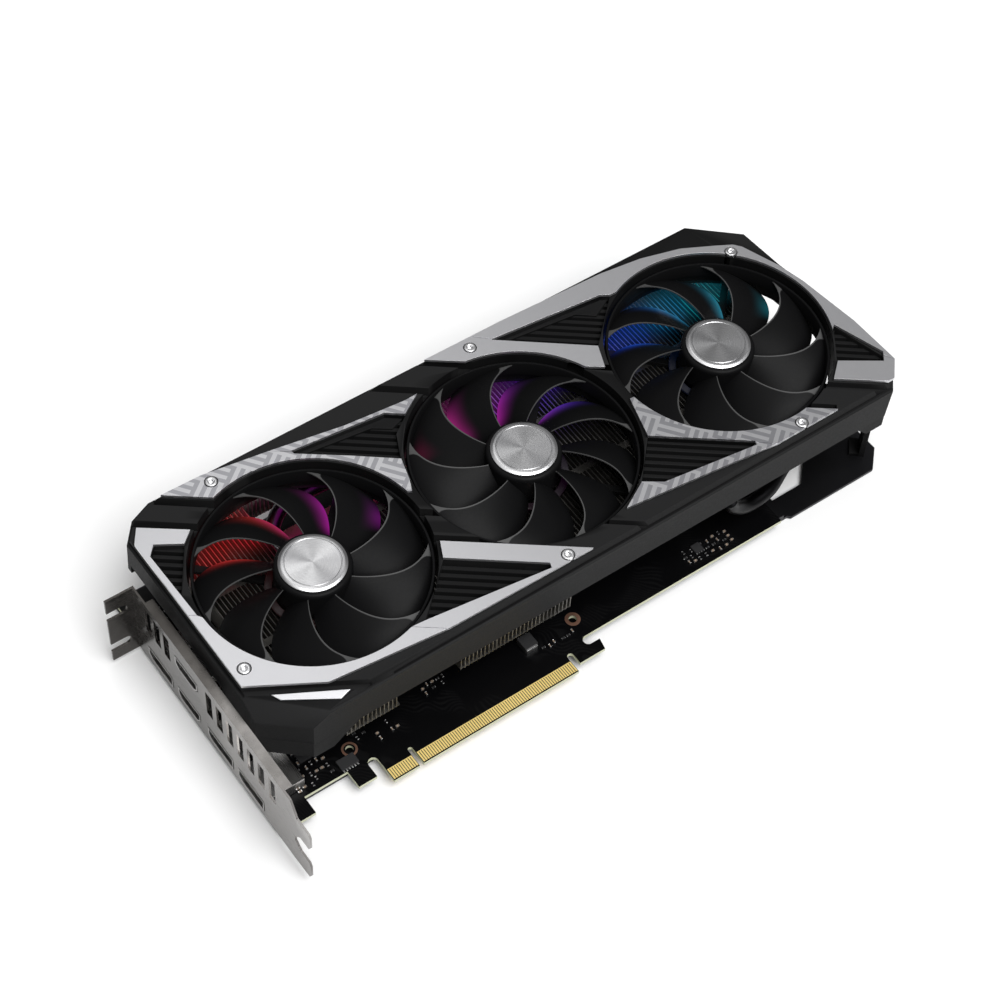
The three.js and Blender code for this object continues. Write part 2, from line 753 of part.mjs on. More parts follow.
function accentPlate(corners) {
  let body = solid(slab(outline(corners), PLATE_Z0, PLATE_Z1));
  const hole = OPENING_R + 0.5;
  for (const x of FAN_X) body = body.subtract(solid(rod(x, FAN_Y, hole, PLATE_Z0 - 1, TOP_Z + 1, 48)));
  for (const [x, y] of SCREWS) body = body.subtract(solid(rod(x, y, 2.7, PLATE_Z0 - 1, TOP_Z + 1, 16)));
  return shaped(body);
}
for (const [name, corners] of Object.entries(ACCENTS)) add(name, accentPlate(corners), SILVER());

// blank badge on the sloping facet of the near left corner
function cornerBadge() {
  const [first, last] = [LEDGE[0], LEDGE[LEDGE.length - 1]];
  const foot = new THREE.Vector3(...last, LEDGE_Z);
  const along = new THREE.Vector3(...first, LEDGE_Z).sub(foot).normalize();
  const crest = new THREE.Vector3(...TOP[0], SHROUD_Z1).sub(foot);
  const normal = along.clone().cross(crest).normalize();
  const up = normal.clone().cross(along);
  const shape = outline([
    [8.8, 1.9],
    [12.6, 0.5],
    [33.5, 4.2],
    [36.3, 8.2],
  ]);
  const frame = new THREE.Matrix4().makeBasis(along, up, normal).setPosition(foot);
  return slab(shape, 0.1, 0.9).applyMatrix4(frame);
}
add("corner_badge", cornerBadge(), SILVER());

SCREWS.forEach(([x, y], i) => {
  const profile = [
    [0, 42],
    [1.2, 42],
    [1.2, PLATE_Z0],
    [2.4, PLATE_Z0],
    [2.4, TOP_Z - 0.3],
    [2.1, TOP_Z],
    [1.1, TOP_Z],
    [1.1, TOP_Z - 0.9],
    [0, TOP_Z - 0.9],
  ];
  add(`shroud_screw_${i + 1}`, turned(profile, x, y, 12), NICKEL());
});

// ---- fans ----
// one blade: a swept, pitched sheet whose leading edge is high and ahead
function blade(spin) {
  const rows = 4;
  const cols = 2;
  const inner = HUB_R - 0.8;
  const outer = RING_IN_R + 0.5;
  const chord = 34;
  const thickness = 1.1;
  const position = [];
  const station = (i, j, side) => {
    const t = i / rows;
    const s = j / cols;
    const radius = inner + (outer - inner) * t;
    const sweep = -10 + 20 * t + 11 * t ** 5;
    const angle = THREE.MathUtils.degToRad(spin * (sweep - chord * s));
    const height = 42.6 - 9.4 * (s * 0.65 + s * s * 0.35) - side * thickness;
    position.push(radius * Math.cos(angle), radius * Math.sin(angle), height);
  };
  for (const side of [0, 1]) {
    for (let i = 0; i <= rows; i += 1) {
      for (let j = 0; j <= cols; j += 1) station(i, j, side);
    }
  }
  const at = (i, j, side) => side * (rows + 1) * (cols + 1) + i * (cols + 1) + j;
  const index = [];
  const quad = (a, b, c, d) => {
    if (spin > 0) index.push(a, b, c, a, c, d);
    else index.push(a, c, b, a, d, c);
  };
  for (let i = 0; i < rows; i += 1) {
    for (let j = 0; j < cols; j += 1) {
      quad(at(i, j, 0), at(i, j + 1, 0), at(i + 1, j + 1, 0), at(i + 1, j, 0));
      quad(at(i, j, 1), at(i + 1, j, 1), at(i + 1, j + 1, 1), at(i, j + 1, 1));
    }
    quad(at(i, 0, 0), at(i + 1, 0, 0), at(i + 1, 0, 1), at(i, 0, 1));
    quad(at(i, cols, 0), at(i, cols, 1), at(i + 1, cols, 1), at(i + 1, cols, 0));
  }
  for (let j = 0; j < cols; j += 1) {
    quad(at(0, j, 0), at(0, j, 1), at(0, j + 1, 1), at(0, j + 1, 0));
    quad(at(rows, j, 0), at(rows, j + 1, 0), at(rows, j + 1, 1), at(rows, j, 1));
  }
  const geometry = new THREE.BufferGeometry();
  geometry.setAttribute("position", new THREE.Float32BufferAttribute(position, 3));
  geometry.setIndex(index);
  return geometry.toNonIndexed();
}

function fanRotor(x, spin) {
  const hub = [
    [0, 33.6],
    [SHAFT_R, 33.6],
    [SHAFT_R, HUB_Z1 - 1.6],
    [HUB_R - 1.6, HUB_Z1 - 1.6],
    [HUB_R - 1.6, HUB_Z0],
    [HUB_R, HUB_Z0],
    [HUB_R, HUB_Z1 - 0.8],
    [HUB_R - 0.8, HUB_Z1],
    [0, HUB_Z1],
  ];
  let body = solid(turned(hub, 0, 0, 28));
  const ring = solid(rod(0, 0, RING_R, RING_Z0, RING_Z1, 42));
  body = body.add(ring.subtract(solid(rod(0, 0, RING_IN_R, RING_Z0 - 1, RING_Z1 + 1, 42))));
  for (let i = 0; i < BLADES; i += 1) {
    body = body.add(solid(blade(spin).rotateZ((2 * Math.PI * i) / BLADES)));
  }
  return shaped(body).translate(x, FAN_Y, 0);
}

function hubCap(x) {
  const profile = [
    [0, HUB_Z1 + SEAT],
    [CAP_R, HUB_Z1 + SEAT],
    [CAP_R, CAP_Z1 - 0.6],
    [CAP_R - 1.2, CAP_Z1],
    [0, CAP_Z1],
  ];
  return turned(profile, x, FAN_Y, 36);
}

// stator with its bearing bore, carried by four arms that end under the collar
function fanMotor(x) {
  const stator = [
    [0, 27.4],
    [12.2, 27.4],
    [12.2, 40.6],
    [SHAFT_R + 0.35, 40.6],
    [SHAFT_R + 0.35, 31],
    [0, 31],
  ];
  let body = solid(turned(stator, x, FAN_Y, 20));
  for (let i = 0; i < 4; i += 1) {
    const angle = Math.PI / 4 + (i * Math.PI) / 2;
    const reach = 48.5;
    const end = [x + reach * Math.cos(angle), FAN_Y + reach * Math.sin(angle)];
    body = body.add(solid(beam([x, FAN_Y], end, 3, 27.4, 29.4)));
  }
  return shaped(body);
}

// glowing ring round the foot of each motor
function lightRing(x) {
  const profile = [
    [15.4, 29.7],
    [18.2, 29.7],
    [18.2, 31.0],
    [15.4, 31.0],
    [15.4, 29.7],
  ];
  return turned(profile, x, FAN_Y, 24);
}

FAN_X.forEach((x, i) => {
  const n = i + 1;
  add(`fan_rotor_${n}`, fanRotor(x, FAN_SPIN[i]), BLADE_BLACK());
  add(`hub_cap_${n}`, hubCap(x), SILVER());
  add(`fan_motor_${n}`, fanMotor(x), BLACK_PLASTIC());
  add(`light_ring_${n}`, lightRing(x), LIGHT_GUIDE());
});

// ---- power inlets on the far edge ----
function powerSocket(x0, columns) {
  const pitch = 4.2;
  const y1 = 129.2;
  const y0 = y1 - 13;
  const width = columns * pitch + 1.4;
  let body = solid(box(x0, x0 + width, y0, y1, SEAT, 10.6));
  for (let i = 0; i < columns; i += 1) {
    for (const z of [3.1, 7.5]) {
      const x = x0 + 0.7 + (i + 0.5) * pitch;
      body = body.subtract(solid(box(x - 1.7, x + 1.7, y1 - 9, y1 + 1, z - 1.7, z + 1.7)));
      body = body.add(solid(box(x - 0.55, x + 0.55, y1 - 9.5, y1 - 1.5, z - 0.55, z + 0.55)));
    }
  }
  return shaped(body);
}
add("power_socket_8pin", powerSocket(124, 4), BLACK_PLASTIC());
add("power_socket_6pin", powerSocket(146, 3), BLACK_PLASTIC());

// ---- firmware selector: a small slide switch on the far edge of the board ----
const SWITCH = { x: -19, length: 9, y0: 119.6, y1: 124.2, z0: SEAT, z1: 4.2, throw: 2.0 };
function switchHousing() {
  const { x, length, y0, y1, z0, z1 } = SWITCH;
  const shell = solid(box(x - length / 2, x + length / 2, y0, y1, z0, z1));
  const slot = solid(box(x - 2.4, x + 2.4, y1 - 2.6, y1 + 1, 1.0, 3.3));
  return shaped(shell.subtract(slot));
}
function switchSlider() {
  const { x, y1 } = SWITCH;
  return box(x - 2.1, x - 0.1, y1 - 2.3, y1 + 2.2, 1.3, 3.0);
}
add("switch_housing", switchHousing(), NICKEL());
add("switch_slider", switchSlider(), paint(0xe8e6e0, 0, 0.5));

// row frame: origin in the middle of the footprint, on the plane the card lies on
const X0 = BRACKET_X - TAB_DEPTH;
group.position.set(-(X0 + TAIL_X) / 2, -(BRACKET_TIP_Y + CARD_TOP_Y) / 2, -BACK_Z);
export default group;
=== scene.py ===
import math
import random
import bpy
import bmesh
import numpy as np
from mathutils import Matrix, Vector, geometry


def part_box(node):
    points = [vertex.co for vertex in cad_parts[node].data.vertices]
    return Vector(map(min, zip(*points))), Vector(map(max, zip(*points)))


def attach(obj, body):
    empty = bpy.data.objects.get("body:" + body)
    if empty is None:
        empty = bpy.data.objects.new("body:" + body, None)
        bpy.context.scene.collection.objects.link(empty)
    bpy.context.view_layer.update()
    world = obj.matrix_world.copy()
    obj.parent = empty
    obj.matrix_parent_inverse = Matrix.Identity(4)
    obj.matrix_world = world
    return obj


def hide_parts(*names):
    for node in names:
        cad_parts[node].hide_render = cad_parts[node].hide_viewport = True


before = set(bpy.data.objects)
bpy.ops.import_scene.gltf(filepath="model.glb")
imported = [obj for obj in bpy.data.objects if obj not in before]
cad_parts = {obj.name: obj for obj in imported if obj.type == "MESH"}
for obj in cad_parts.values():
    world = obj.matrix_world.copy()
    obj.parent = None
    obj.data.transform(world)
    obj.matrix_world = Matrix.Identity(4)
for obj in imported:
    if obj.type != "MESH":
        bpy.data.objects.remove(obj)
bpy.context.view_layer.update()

random.seed(7)

# ---------------------------------------------------------------- the card's own datum
# Lengths below are millimetres from the card datum: x = 0 at the key notch, y = 0 at the free edge
# of the contacts, z = 0 on the fan side of the board. Its place in the row frame comes from the CAD.
MM = 0.001
BOARD_LO, BOARD_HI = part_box("circuit_board")
BRACKET_LO, BRACKET_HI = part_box("io_bracket")
TAB_DEPTH = 11.43
BRACKET_X = -58.01
ORIGIN = Vector(
    (
        BRACKET_LO.x + (TAB_DEPTH - BRACKET_X) * MM,
        BOARD_LO.y,
        BOARD_HI.z,
    )
)


def at(x, y, z):
    """A point given in card millimetres, in the row frame."""
    return ORIGIN + Vector((x, y, z)) * MM


def cad(node):
    """Lowest and highest corner of a CAD node in card millimetres."""
    lo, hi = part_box(node)
    return (lo - ORIGIN) / MM, (hi - ORIGIN) / MM


def middle(node):
    lo, hi = cad(node)
    return (lo + hi) / 2


FANS = [middle(f"hub_cap_{i}").to_2d() for i in (1, 2, 3)]
SCREWS = [middle(f"shroud_screw_{i}").to_2d() for i in range(1, 7)]
SPIN = (1, -1, 1)
BLADES = 9
TOP_Z = cad("shroud_screw_1")[1].z
PLATE_Z0, PLATE_Z1 = cad("accent_plate_1")[0].z, cad("accent_plate_1")[1].z
SHROUD_Z0, CREASE_Z, LEDGE_Z, SHROUD_Z1 = 26.0, 42.3, 43.0, 46.1
ROOF_Z, POCKET_Z, RIB_Z = 39.0, 41.4, 44.4
OPENING_R, COLLAR_R, RING_R, RING_IN_R = 46.0, 47.4, 44.8, 43.7
HUB_R, CAP_R = 14.8, 13.0
SLANT = math.radians(-37.5)


# ---------------------------------------------------------------- node helpers
class Nodes:
    """Thin wrapper that makes a material's node tree read like a formula."""

    def __init__(self, name):
        self.material = bpy.data.materials.new(name)
        self.material.use_nodes = True
        self.tree = self.material.node_tree
        self.shader = self.tree.nodes["Principled BSDF"]

    def new(self, kind, **settings):
        node = self.tree.nodes.new("ShaderNode" + kind)
        inputs = settings.pop("inputs", {})
        for key, value in settings.items():
            setattr(node, key, value)
        for key, value in inputs.items():
            self.put(node.inputs[key], value)
        return node

    def put(self, socket, value):
        if isinstance(value, bpy.types.NodeSocket):
            self.tree.links.new(value, socket)
        elif isinstance(value, tuple) and len(value) == 3 and len(socket.default_value) == 4:
            socket.default_value = (*value, 1.0)
        else:
            socket.default_value = value

    def set(self, **values):
        for key, value in values.items():
            self.put(self.shader.inputs[key.replace("_", " ")], value)
        return self

    def place(self, source=None):
        """Object coordinates, of another object if one is given."""
        node = self.new("TexCoord")
        if source:
            node.object = source
        return node.outputs["Object"]

    def turned(self, vector, angle=0.0, scale=(1, 1, 1)):
        node = self.new("Mapping", inputs={"Vector": vector, "Scale": scale})
        node.inputs["Rotation"].default_value = (0, 0, angle)
        return node.outputs["Vector"]

    def noise(self, vector, scale, detail=3.0, rough=0.55):
        settings = {"Vector": vector, "Scale": scale, "Detail": detail, "Roughness": rough}
        return self.new("TexNoise", inputs=settings).outputs["Fac"]

    def math(self, operation, a, b=0.0, clamp=False):
        node = self.new("Math", operation=operation, use_clamp=clamp)
        self.put(node.inputs[0], a)
        self.put(node.inputs[1], b)
        return node.outputs[0]

    def span(self, value, lo, hi, to_lo=0.0, to_hi=1.0, smooth=False):
        kind = "SMOOTHSTEP" if smooth else "LINEAR"
        node = self.new("MapRange", interpolation_type=kind)
        for socket, number in zip(node.inputs, (value, lo, hi, to_lo, to_hi)):
            self.put(socket, number)
        return node.outputs[0]

    def mix(self, factor, a, b):
        node = self.new("Mix", data_type="RGBA")
        self.put(node.inputs[0], factor)
        self.put(node.inputs[6], a)
        self.put(node.inputs[7], b)
        return node.outputs[2]

    def ramp(self, value, stops):
        node = self.new("ValToRGB")
        elements = node.color_ramp.elements
        while len(elements) < len(stops):
            elements.new(0.5)
        for element, (position, color) in zip(elements, stops):
            element.position = position
            element.color = (*color, 1.0)
        self.put(node.inputs[0], value)
        return node.outputs[0]

    def split(self, vector):
        return self.new("SeparateXYZ", inputs={"Vector": vector}).outputs

    def bump(self, height, distance, strength=1.0):
        node = self.new("Bump", inputs={"Height": height, "Distance": distance, "Strength": strength})
        self.put(self.shader.inputs["Normal"], node.outputs["Normal"])
        return node

    def edges(self, lo=0.52, hi=0.6):
        """1 along sharp convex edges, 0 elsewhere."""
        point = self.new("NewGeometry").outputs["Pointiness"]
        return self.span(point, lo, hi)


def plastic(name, color, rough=0.5, grain=1.0, lift=1.6, coarse=1400.0, gloss=0.25):
    """Moulded plastic: fine spark-eroded grain, slight shade drift, lighter along sharp edges."""
    n = Nodes(name)
    place = n.place()
    drift = n.noise(place, 22.0, 2.0)
    dark = tuple(c * 0.9 for c in color)
    shade = n.mix(drift, dark, tuple(c * 1.08 for c in color))
    # colour lightened along sharp convex edges
    edge_tone = tuple(min(1, c * lift + 0.015) for c in color)
    edge_lightened = n.mix(n.math("MULTIPLY", n.edges(0.52, 0.62), 0.5), shade, edge_tone)
    fine = n.noise(place, coarse, 2.0)
    n.set(Base_Color=edge_lightened, Roughness=n.span(fine, 0.3, 0.7, rough - 0.05, rough + 0.06))
    n.bump(fine, 0.00006 * grain, 0.35)
    n.set(Specular_IOR_Level=gloss)
    return n.material


def metal(name, color, rough=0.3, stretch=(1, 60, 1), metallic=1.0, drift=0.06):
    """Drawn or plated sheet: long fine scratches and a soft tarnish."""
    n = Nodes(name)
    place = n.place()
    lines = n.noise(n.turned(place, 0.0, stretch), 90.0, 4.0, 0.6)
    smudge = n.noise(place, 30.0, 3.0)
    shade = n.mix(smudge, tuple(c * (1 - drift) for c in color), color)
    both = n.math("ADD", n.math("MULTIPLY", lines, 0.5), n.math("MULTIPLY", smudge, 0.5))
    n.set(Base_Color=shade, Metallic=metallic, Roughness=n.span(both, 0.3, 0.7, rough - 0.06, rough + 0.08))
    n.bump(lines, 0.00002, 0.3)
    return n.material


WEAVE_CELL, WEAVE_PITCH = 0.0105, 0.0035


def silver_paint(name, pattern=False):
    """Satin silver coat. Some plates carry a slightly darker printed weave of slanting bars."""
    n = Nodes(name)
    place = n.place()
    base = (0.66, 0.66, 0.68)
    fleck = n.noise(place, 2600.0, 1.0)
    drift = n.noise(place, 14.0, 2.0)
    shade = n.mix(drift, tuple(c * 0.96 for c in base), base)
    if pattern:
        turned = n.turned(place, SLANT)
        across = n.split(turned)
        checks = n.new("TexChecker", inputs={"Vector": turned, "Scale": 1 / WEAVE_CELL})
        bars = [n.math("FRACT", n.math("MULTIPLY", side, 1 / WEAVE_PITCH)) for side in across[:2]]
        first, second = [n.math("GREATER_THAN", bar, 0.5) for bar in bars]
        weave = n.math("ADD", n.math("MULTIPLY", checks.outputs["Fac"], first), n.math("MULTIPLY", n.math("SUBTRACT", 1.0, checks.outputs["Fac"]), second))
        shade = n.mix(weave, shade, (0.40, 0.40, 0.425))
    n.set(Base_Color=shade, Metallic=0.85, Roughness=n.span(fleck, 0.3, 0.7, 0.30, 0.38))
    n.bump(fleck, 0.00002, 0.3)
    n.set(Coat_Weight=0.15, Coat_Roughness=0.2)
    return n.material


# ---------------------------------------------------------------- mesh helpers
def mesh_object(name, bm, material=None, smooth=40.0):
    """Turns a bmesh drawn in card millimetres into an object in the row frame."""
    bmesh.ops.remove_doubles(bm, verts=bm.verts, dist=0.001)
    bmesh.ops.recalc_face_normals(bm, faces=bm.faces)
    for vert in bm.verts:
        vert.co = ORIGIN + vert.co * MM
    mesh = bpy.data.meshes.new(name)
    bm.to_mesh(mesh)
    bm.free()
    made = bpy.data.objects.new(name, mesh)
    bpy.context.scene.collection.objects.link(made)
    if material:
        mesh.materials.append(material)
    if smooth:
        mesh.shade_smooth()
        mesh.set_sharp_from_angle(angle=math.radians(smooth))
    return made


def recentre(made, centre):
    """Puts the object's own origin at a point of the row frame."""
    made.data.transform(Matrix.Translation(-centre))
    made.location = centre
    return made


def bevel(made, width, segments=2, angle=35.0):
    step = made.modifiers.new("edge", "BEVEL")
    step.width = width * MM
    step.segments = segments
    step.limit_method = "ANGLE"
    step.angle_limit = math.radians(angle)
    step.harden_normals = True
    return made


def settle(made):
    """Applies every modifier of an object."""
    graph = bpy.context.evaluated_depsgraph_get()
    mesh = bpy.data.meshes.new_from_object(made.evaluated_get(graph))
    made.modifiers.clear()
    made.data = mesh
    return made


def boolean(made, tools, operation="DIFFERENCE"):
    """Cuts, joins or intersects with disjoint tools, which are removed afterwards."""
    for tool in tools:
        step = made.modifiers.new("cut", "BOOLEAN")
        step.operation = operation
        step.solver = "EXACT"
        step.object = tool
    settle(made)
    for tool in tools:
        bpy.data.objects.remove(tool)
    return made


def clean(made, smooth=40.0, dist=0.01):
    """Merges the slivers that a cut leaves and shades by angle."""
    bm = bmesh.new()
    bm.from_mesh(made.data)
    bmesh.ops.remove_doubles(bm, verts=bm.verts, dist=dist * MM)
    bmesh.ops.dissolve_degenerate(bm, edges=bm.edges, dist=dist * MM)
    bmesh.ops.dissolve_limit(bm, angle_limit=math.radians(1.0), verts=bm.verts, edges=bm.edges)
    bm.to_mesh(made.data)
    bm.free()
    made.data.shade_smooth()
    made.data.set_sharp_from_angle(angle=math.radians(smooth))
    return made


def prism(bm, points, z0, z1):
    """Adds a closed flat piece with this outline."""
    low = [bm.verts.new((x, y, z0)) for x, y in points]
    high = [bm.verts.new((x, y, z1)) for x, y in points]
    count = len(points)
    bm.faces.new(list(reversed(low)))
    bm.faces.new(high)
    for i in range(count):
        j = (i + 1) % count
        bm.faces.new((low[i], low[j], high[j], high[i]))


def block(bm, x0, x1, y0, y1, z0, z1):
    prism(bm, [(x0, y0), (x1, y0), (x1, y1), (x0, y1)], z0, z1)


def beam(bm, start, end, width, z0, z1):
    a, b = Vector(start), Vector(end)
    side = (b - a).normalized().orthogonal() * (width / 2)
    prism(bm, [a - side, b - side, b + side, a + side], z0, z1)


def lathe(bm, profile, x=0.0, y=0.0, segments=96, closed=False):
    """Turns a profile of (radius, height) about a vertical axis. Points on the axis close it."""
    rings = []
    for r, z in profile:
        if r < 1e-6:
            rings.append([bm.verts.new((x, y, z))])
            continue
        turn = [2 * math.pi * k / segments for k in range(segments)]
        rings.append([bm.verts.new((x + r * math.cos(t), y + r * math.sin(t), z)) for t in turn])
    pairs = list(zip(rings, rings[1:] + ([rings[0]] if closed else [])))
    for low, high in pairs if closed else pairs[: len(rings) - 1]:
        for k in range(segments):
            m = (k + 1) % segments
            if len(low) == 1 and len(high) == 1:
                continue
            if len(low) == 1:
                bm.faces.new((low[0], high[m], high[k]))
            elif len(high) == 1:
                bm.faces.new((low[k], low[m], high[0]))
            else:
                bm.faces.new((low[k], low[m], high[m], high[k]))


def disc_tool(x, y, radius, z0, z1, segments=128):
    bm = bmesh.new()
    lathe(bm, [(0, z0), (radius, z0), (radius, z1), (0, z1)], x, y, segments)
    return mesh_object("tool", bm, smooth=None)


def prism_tool(points, z0, z1):
    bm = bmesh.new()
    prism(bm, points, z0, z1)
    return mesh_object("tool", bm, smooth=None)


def loft(bm, sections):
    """Skin over stacked outlines (z, points) with the same number of points."""
    rings = [[bm.verts.new((x, y, z)) for x, y in points] for z, points in sections]
    count = len(rings[0])
    for low, high in zip(rings, rings[1:]):
        for i in range(count):
            j = (i + 1) % count
            bm.faces.new((low[i], low[j], high[j]))
            bm.faces.new((low[i], high[j], high[i]))
    bm.faces.new(list(reversed(rings[0])))
    bm.faces.new(rings[-1])


def inset(points, distance):
    """Moves every side of a counter-clockwise outline inwards."""
    moved = []
    count = len(points)
    for i, point in enumerate(points):
        here = Vector(point)
        before = (here - Vector(points[i - 1])).normalized()
        after = (Vector(points[(i + 1) % count]) - here).normalized()
        bisector = Vector((-before.y - after.y, before.x + after.x))
        moved.append(tuple(here + bisector * (2 * distance / bisector.length_squared)))
    return moved


def finish_piece(made, body, nodes=()):
    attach(made, body)
    if nodes:
        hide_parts(*nodes)
    return made


# ---------------------------------------------------------------- materials
SHROUD = plastic("shroud_plastic", (0.0066, 0.0066, 0.0068), 0.5, gloss=0.05)
BLACK = plastic("black_plastic", (0.003, 0.003, 0.0032), 0.5, gloss=0.06)
SOCKET_BLACK = plastic("socket_plastic", (0.004, 0.004, 0.0043), 0.42, lift=1.1, gloss=0.2)
SILVER = silver_paint("silver_paint")
SILVER_WOVEN = silver_paint("silver_paint_woven", pattern=True)
SHELL = metal("socket_shell", (0.50, 0.49, 0.48), 0.25, (30, 1, 1))
SCREW = metal("screw_steel", (0.82, 0.82, 0.83), 0.28, (1, 1, 1))
PIPE = metal("pipe_nickel", (0.055, 0.055, 0.058), 0.3, (1, 40, 40))
COPPER = metal("copper", (0.80, 0.44, 0.31), 0.36, (40, 1, 1))
GOLD = metal("contact_gold", (0.98, 0.76, 0.28), 0.5, (1, 30, 1), metallic=0.5)
TAIL_PIPE = metal("pipe_blackened", (0.014, 0.014, 0.015), 0.32, (1, 40, 40))
TIN = metal("tin", (0.72, 0.72, 0.72), 0.3, (1, 1, 1))
BACK_BLACK = metal("anodised_black", (0.030, 0.030, 0.033), 0.42, (1, 80, 1))
CHIP = plastic("chip_epoxy", (0.014, 0.014, 0.015), 0.5, 1.5, 1.1)
CERAMIC = plastic("capacitor_ceramic", (0.26, 0.20, 0.15), 0.5, 0.5, 1.1)
SLIDER = plastic("slider_nylon", (0.75, 0.74, 0.70), 0.45, 0.6, 1.1)

# colour of the light from below each fan, by place along the card: red, crimson, magenta, violet, blue, cyan; blades
# and fins carry it as painted glow
GLOW_STOPS = [
    (0.00, (0.75, 0.02, 0.03)),
    (0.15, (0.80, 0.05, 0.04)),
    (0.215, (0.55, 0.02, 0.40)),
    (0.30, (0.42, 0.02, 0.48)),
    (0.36, (0.65, 0.02, 0.10)),
    (0.45, (0.65, 0.03, 0.32)),
    (0.52, (0.50, 0.02, 0.45)),
    (0.59, (0.16, 0.04, 0.60)),
    (0.67, (0.01, 0.02, 0.75)),
    (0.76, (0.02, 0.13, 0.80)),
    (0.83, (0.03, 0.30, 0.50)),
    (1.00, (0.01, 0.38, 0.42)),
]
GLOW_X0, GLOW_X1 = -50.0, 245.0


def glow_color(n, place):
    """Colour of the glow at a point of the card; place is in metres from the card datum."""
    along = n.span(n.split(place)[0], GLOW_X0 * MM, GLOW_X1 * MM)
    return n.ramp(along, GLOW_STOPS)


def marker(name, centre):
    """A still point that a material measures from."""
    made = bpy.data.objects.new(name, None)
    made.location = centre
    bpy.context.scene.collection.objects.link(made)
    return made


DATUM = marker("card_datum", ORIGIN)


def blade_material(index, centre):
    """Satin black blades with a painted highlight along the leading edge; their low trailing parts carry a painted glow
    on the far half of each fan.
    """
    n = Nodes(f"blade_plastic_{index}")
    place = n.place()
    fine = n.noise(place, 1500.0, 2.0)
    drift = n.noise(place, 30.0, 2.0)
    shade = n.mix(drift, (0.0045, 0.0045, 0.0048), (0.006, 0.006, 0.0063))
    # painted highlight: a lighter line along each blade's leading edge, wider near the ring
    uv = n.split(n.new("TexCoord").outputs["UV"])
    web = n.math("POWER", n.span(uv[0], 0.84, 1.0), 2.0)
    rim = n.span(n.math("SUBTRACT", uv[1], n.math("MULTIPLY", web, 0.2)), 0.035, 0.02)
    painted_edge_highlight = n.math("MULTIPLY", n.math("GREATER_THAN", uv[0], 0.001), rim)
    n.set(Base_Color=n.mix(n.math("MULTIPLY", painted_edge_highlight, 0.9), shade, (0.085, 0.085, 0.085)))
    n.set(Roughness=n.span(fine, 0.3, 0.7, 0.36, 0.44), Specular_IOR_Level=0.07)
    n.bump(fine, 0.00004, 0.25)
    # painted glow: emission on the low trailing part of each blade, only on the far half of the fan, in the colour of
    # the light from below
    chord = n.math("POWER", n.span(uv[1], 0.5, 1.0), 2.4)
    reach = n.math("MULTIPLY", n.span(uv[0], 0.1, 0.4, smooth=True), n.span(uv[0], 0.98, 0.6, smooth=True))
    still = n.split(n.place(marker(f"fan_centre_{index}", centre)))
    far = n.span(n.math("ADD", still[1], n.math("MULTIPLY", still[0], 0.25)), 0.013, 0.022, smooth=True)
    painted_glow = n.math("MULTIPLY", n.math("MULTIPLY", chord, reach), far)
    n.set(Emission_Color=glow_color(n, n.place(DATUM)))
    n.set(Emission_Strength=n.math("MULTIPLY", painted_glow, 0.5))
    return n.material


def cap_material():
    """Spun aluminium: rings of fine scratches that smear the light into rays, and light and dark ray sectors painted
    into the colour as painted reflection.
    """
    n = Nodes("spun_aluminium")
    place = n.place()
    parts = n.split(place)
    radius = n.math("SQRT", n.math("ADD", n.math("POWER", parts[0], 2.0), n.math("POWER", parts[1], 2.0)))
    rings = n.new("TexNoise", noise_dimensions="1D", inputs={"W": n.math("MULTIPLY", radius, 900.0), "Scale": 9.0})
    # painted reflection: light and dark sectors round the cap, painted into the colour
    angle = n.math("ARCTAN2", parts[1], parts[0])
    wide = n.math("SINE", n.math("ADD", n.math("MULTIPLY", angle, 2.0), 0.6))
    narrow = n.math("SINE", n.math("MULTIPLY", angle, 5.0))
    painted_rays = n.math("ADD", n.math("MULTIPLY", wide, 0.65), n.math("MULTIPLY", narrow, 0.35))
    shade = n.mix(n.span(painted_rays, -1.0, 1.0), (0.40, 0.40, 0.41), (0.80, 0.80, 0.81))
    n.set(Base_Color=shade, Metallic=1.0, Roughness=n.span(rings.outputs["Fac"], 0.3, 0.7, 0.22, 0.34))
    n.bump(rings.outputs["Fac"], 0.00002, 0.4)
    tangent = n.new("Tangent", direction_type="RADIAL", axis="Z")
    n.set(Anisotropic=0.7, Tangent=tangent.outputs[0])
    return n.material


def fin_material():
    """Bare fins with a painted glow: emission where the coloured rings above would light them."""
    n = Nodes("fin_aluminium")
    place = n.place(DATUM)
    smudge = n.noise(place, 160.0, 3.0)
    n.set(Base_Color=n.mix(smudge, (0.20, 0.19, 0.175), (0.28, 0.27, 0.25)), Metallic=0.9)
    n.set(Roughness=n.span(smudge, 0.3, 0.7, 0.3, 0.45))
    n.bump(n.noise(place, 900.0, 2.0), 0.00003, 0.3)
    parts = n.split(place)
    # painted glow: emission on the upper far part of the fins, in the colour of the light from below
    lit = n.math("MULTIPLY", n.span(parts[1], 0.095, 0.107, smooth=True), n.span(parts[1], 0.123, 0.116))
    lit = n.math("MULTIPLY", lit, n.span(parts[2], 0.017, 0.027, smooth=True))
    n.set(Emission_Color=glow_color(n, place), Emission_Strength=n.math("MULTIPLY", lit, 0.075))
    return n.material


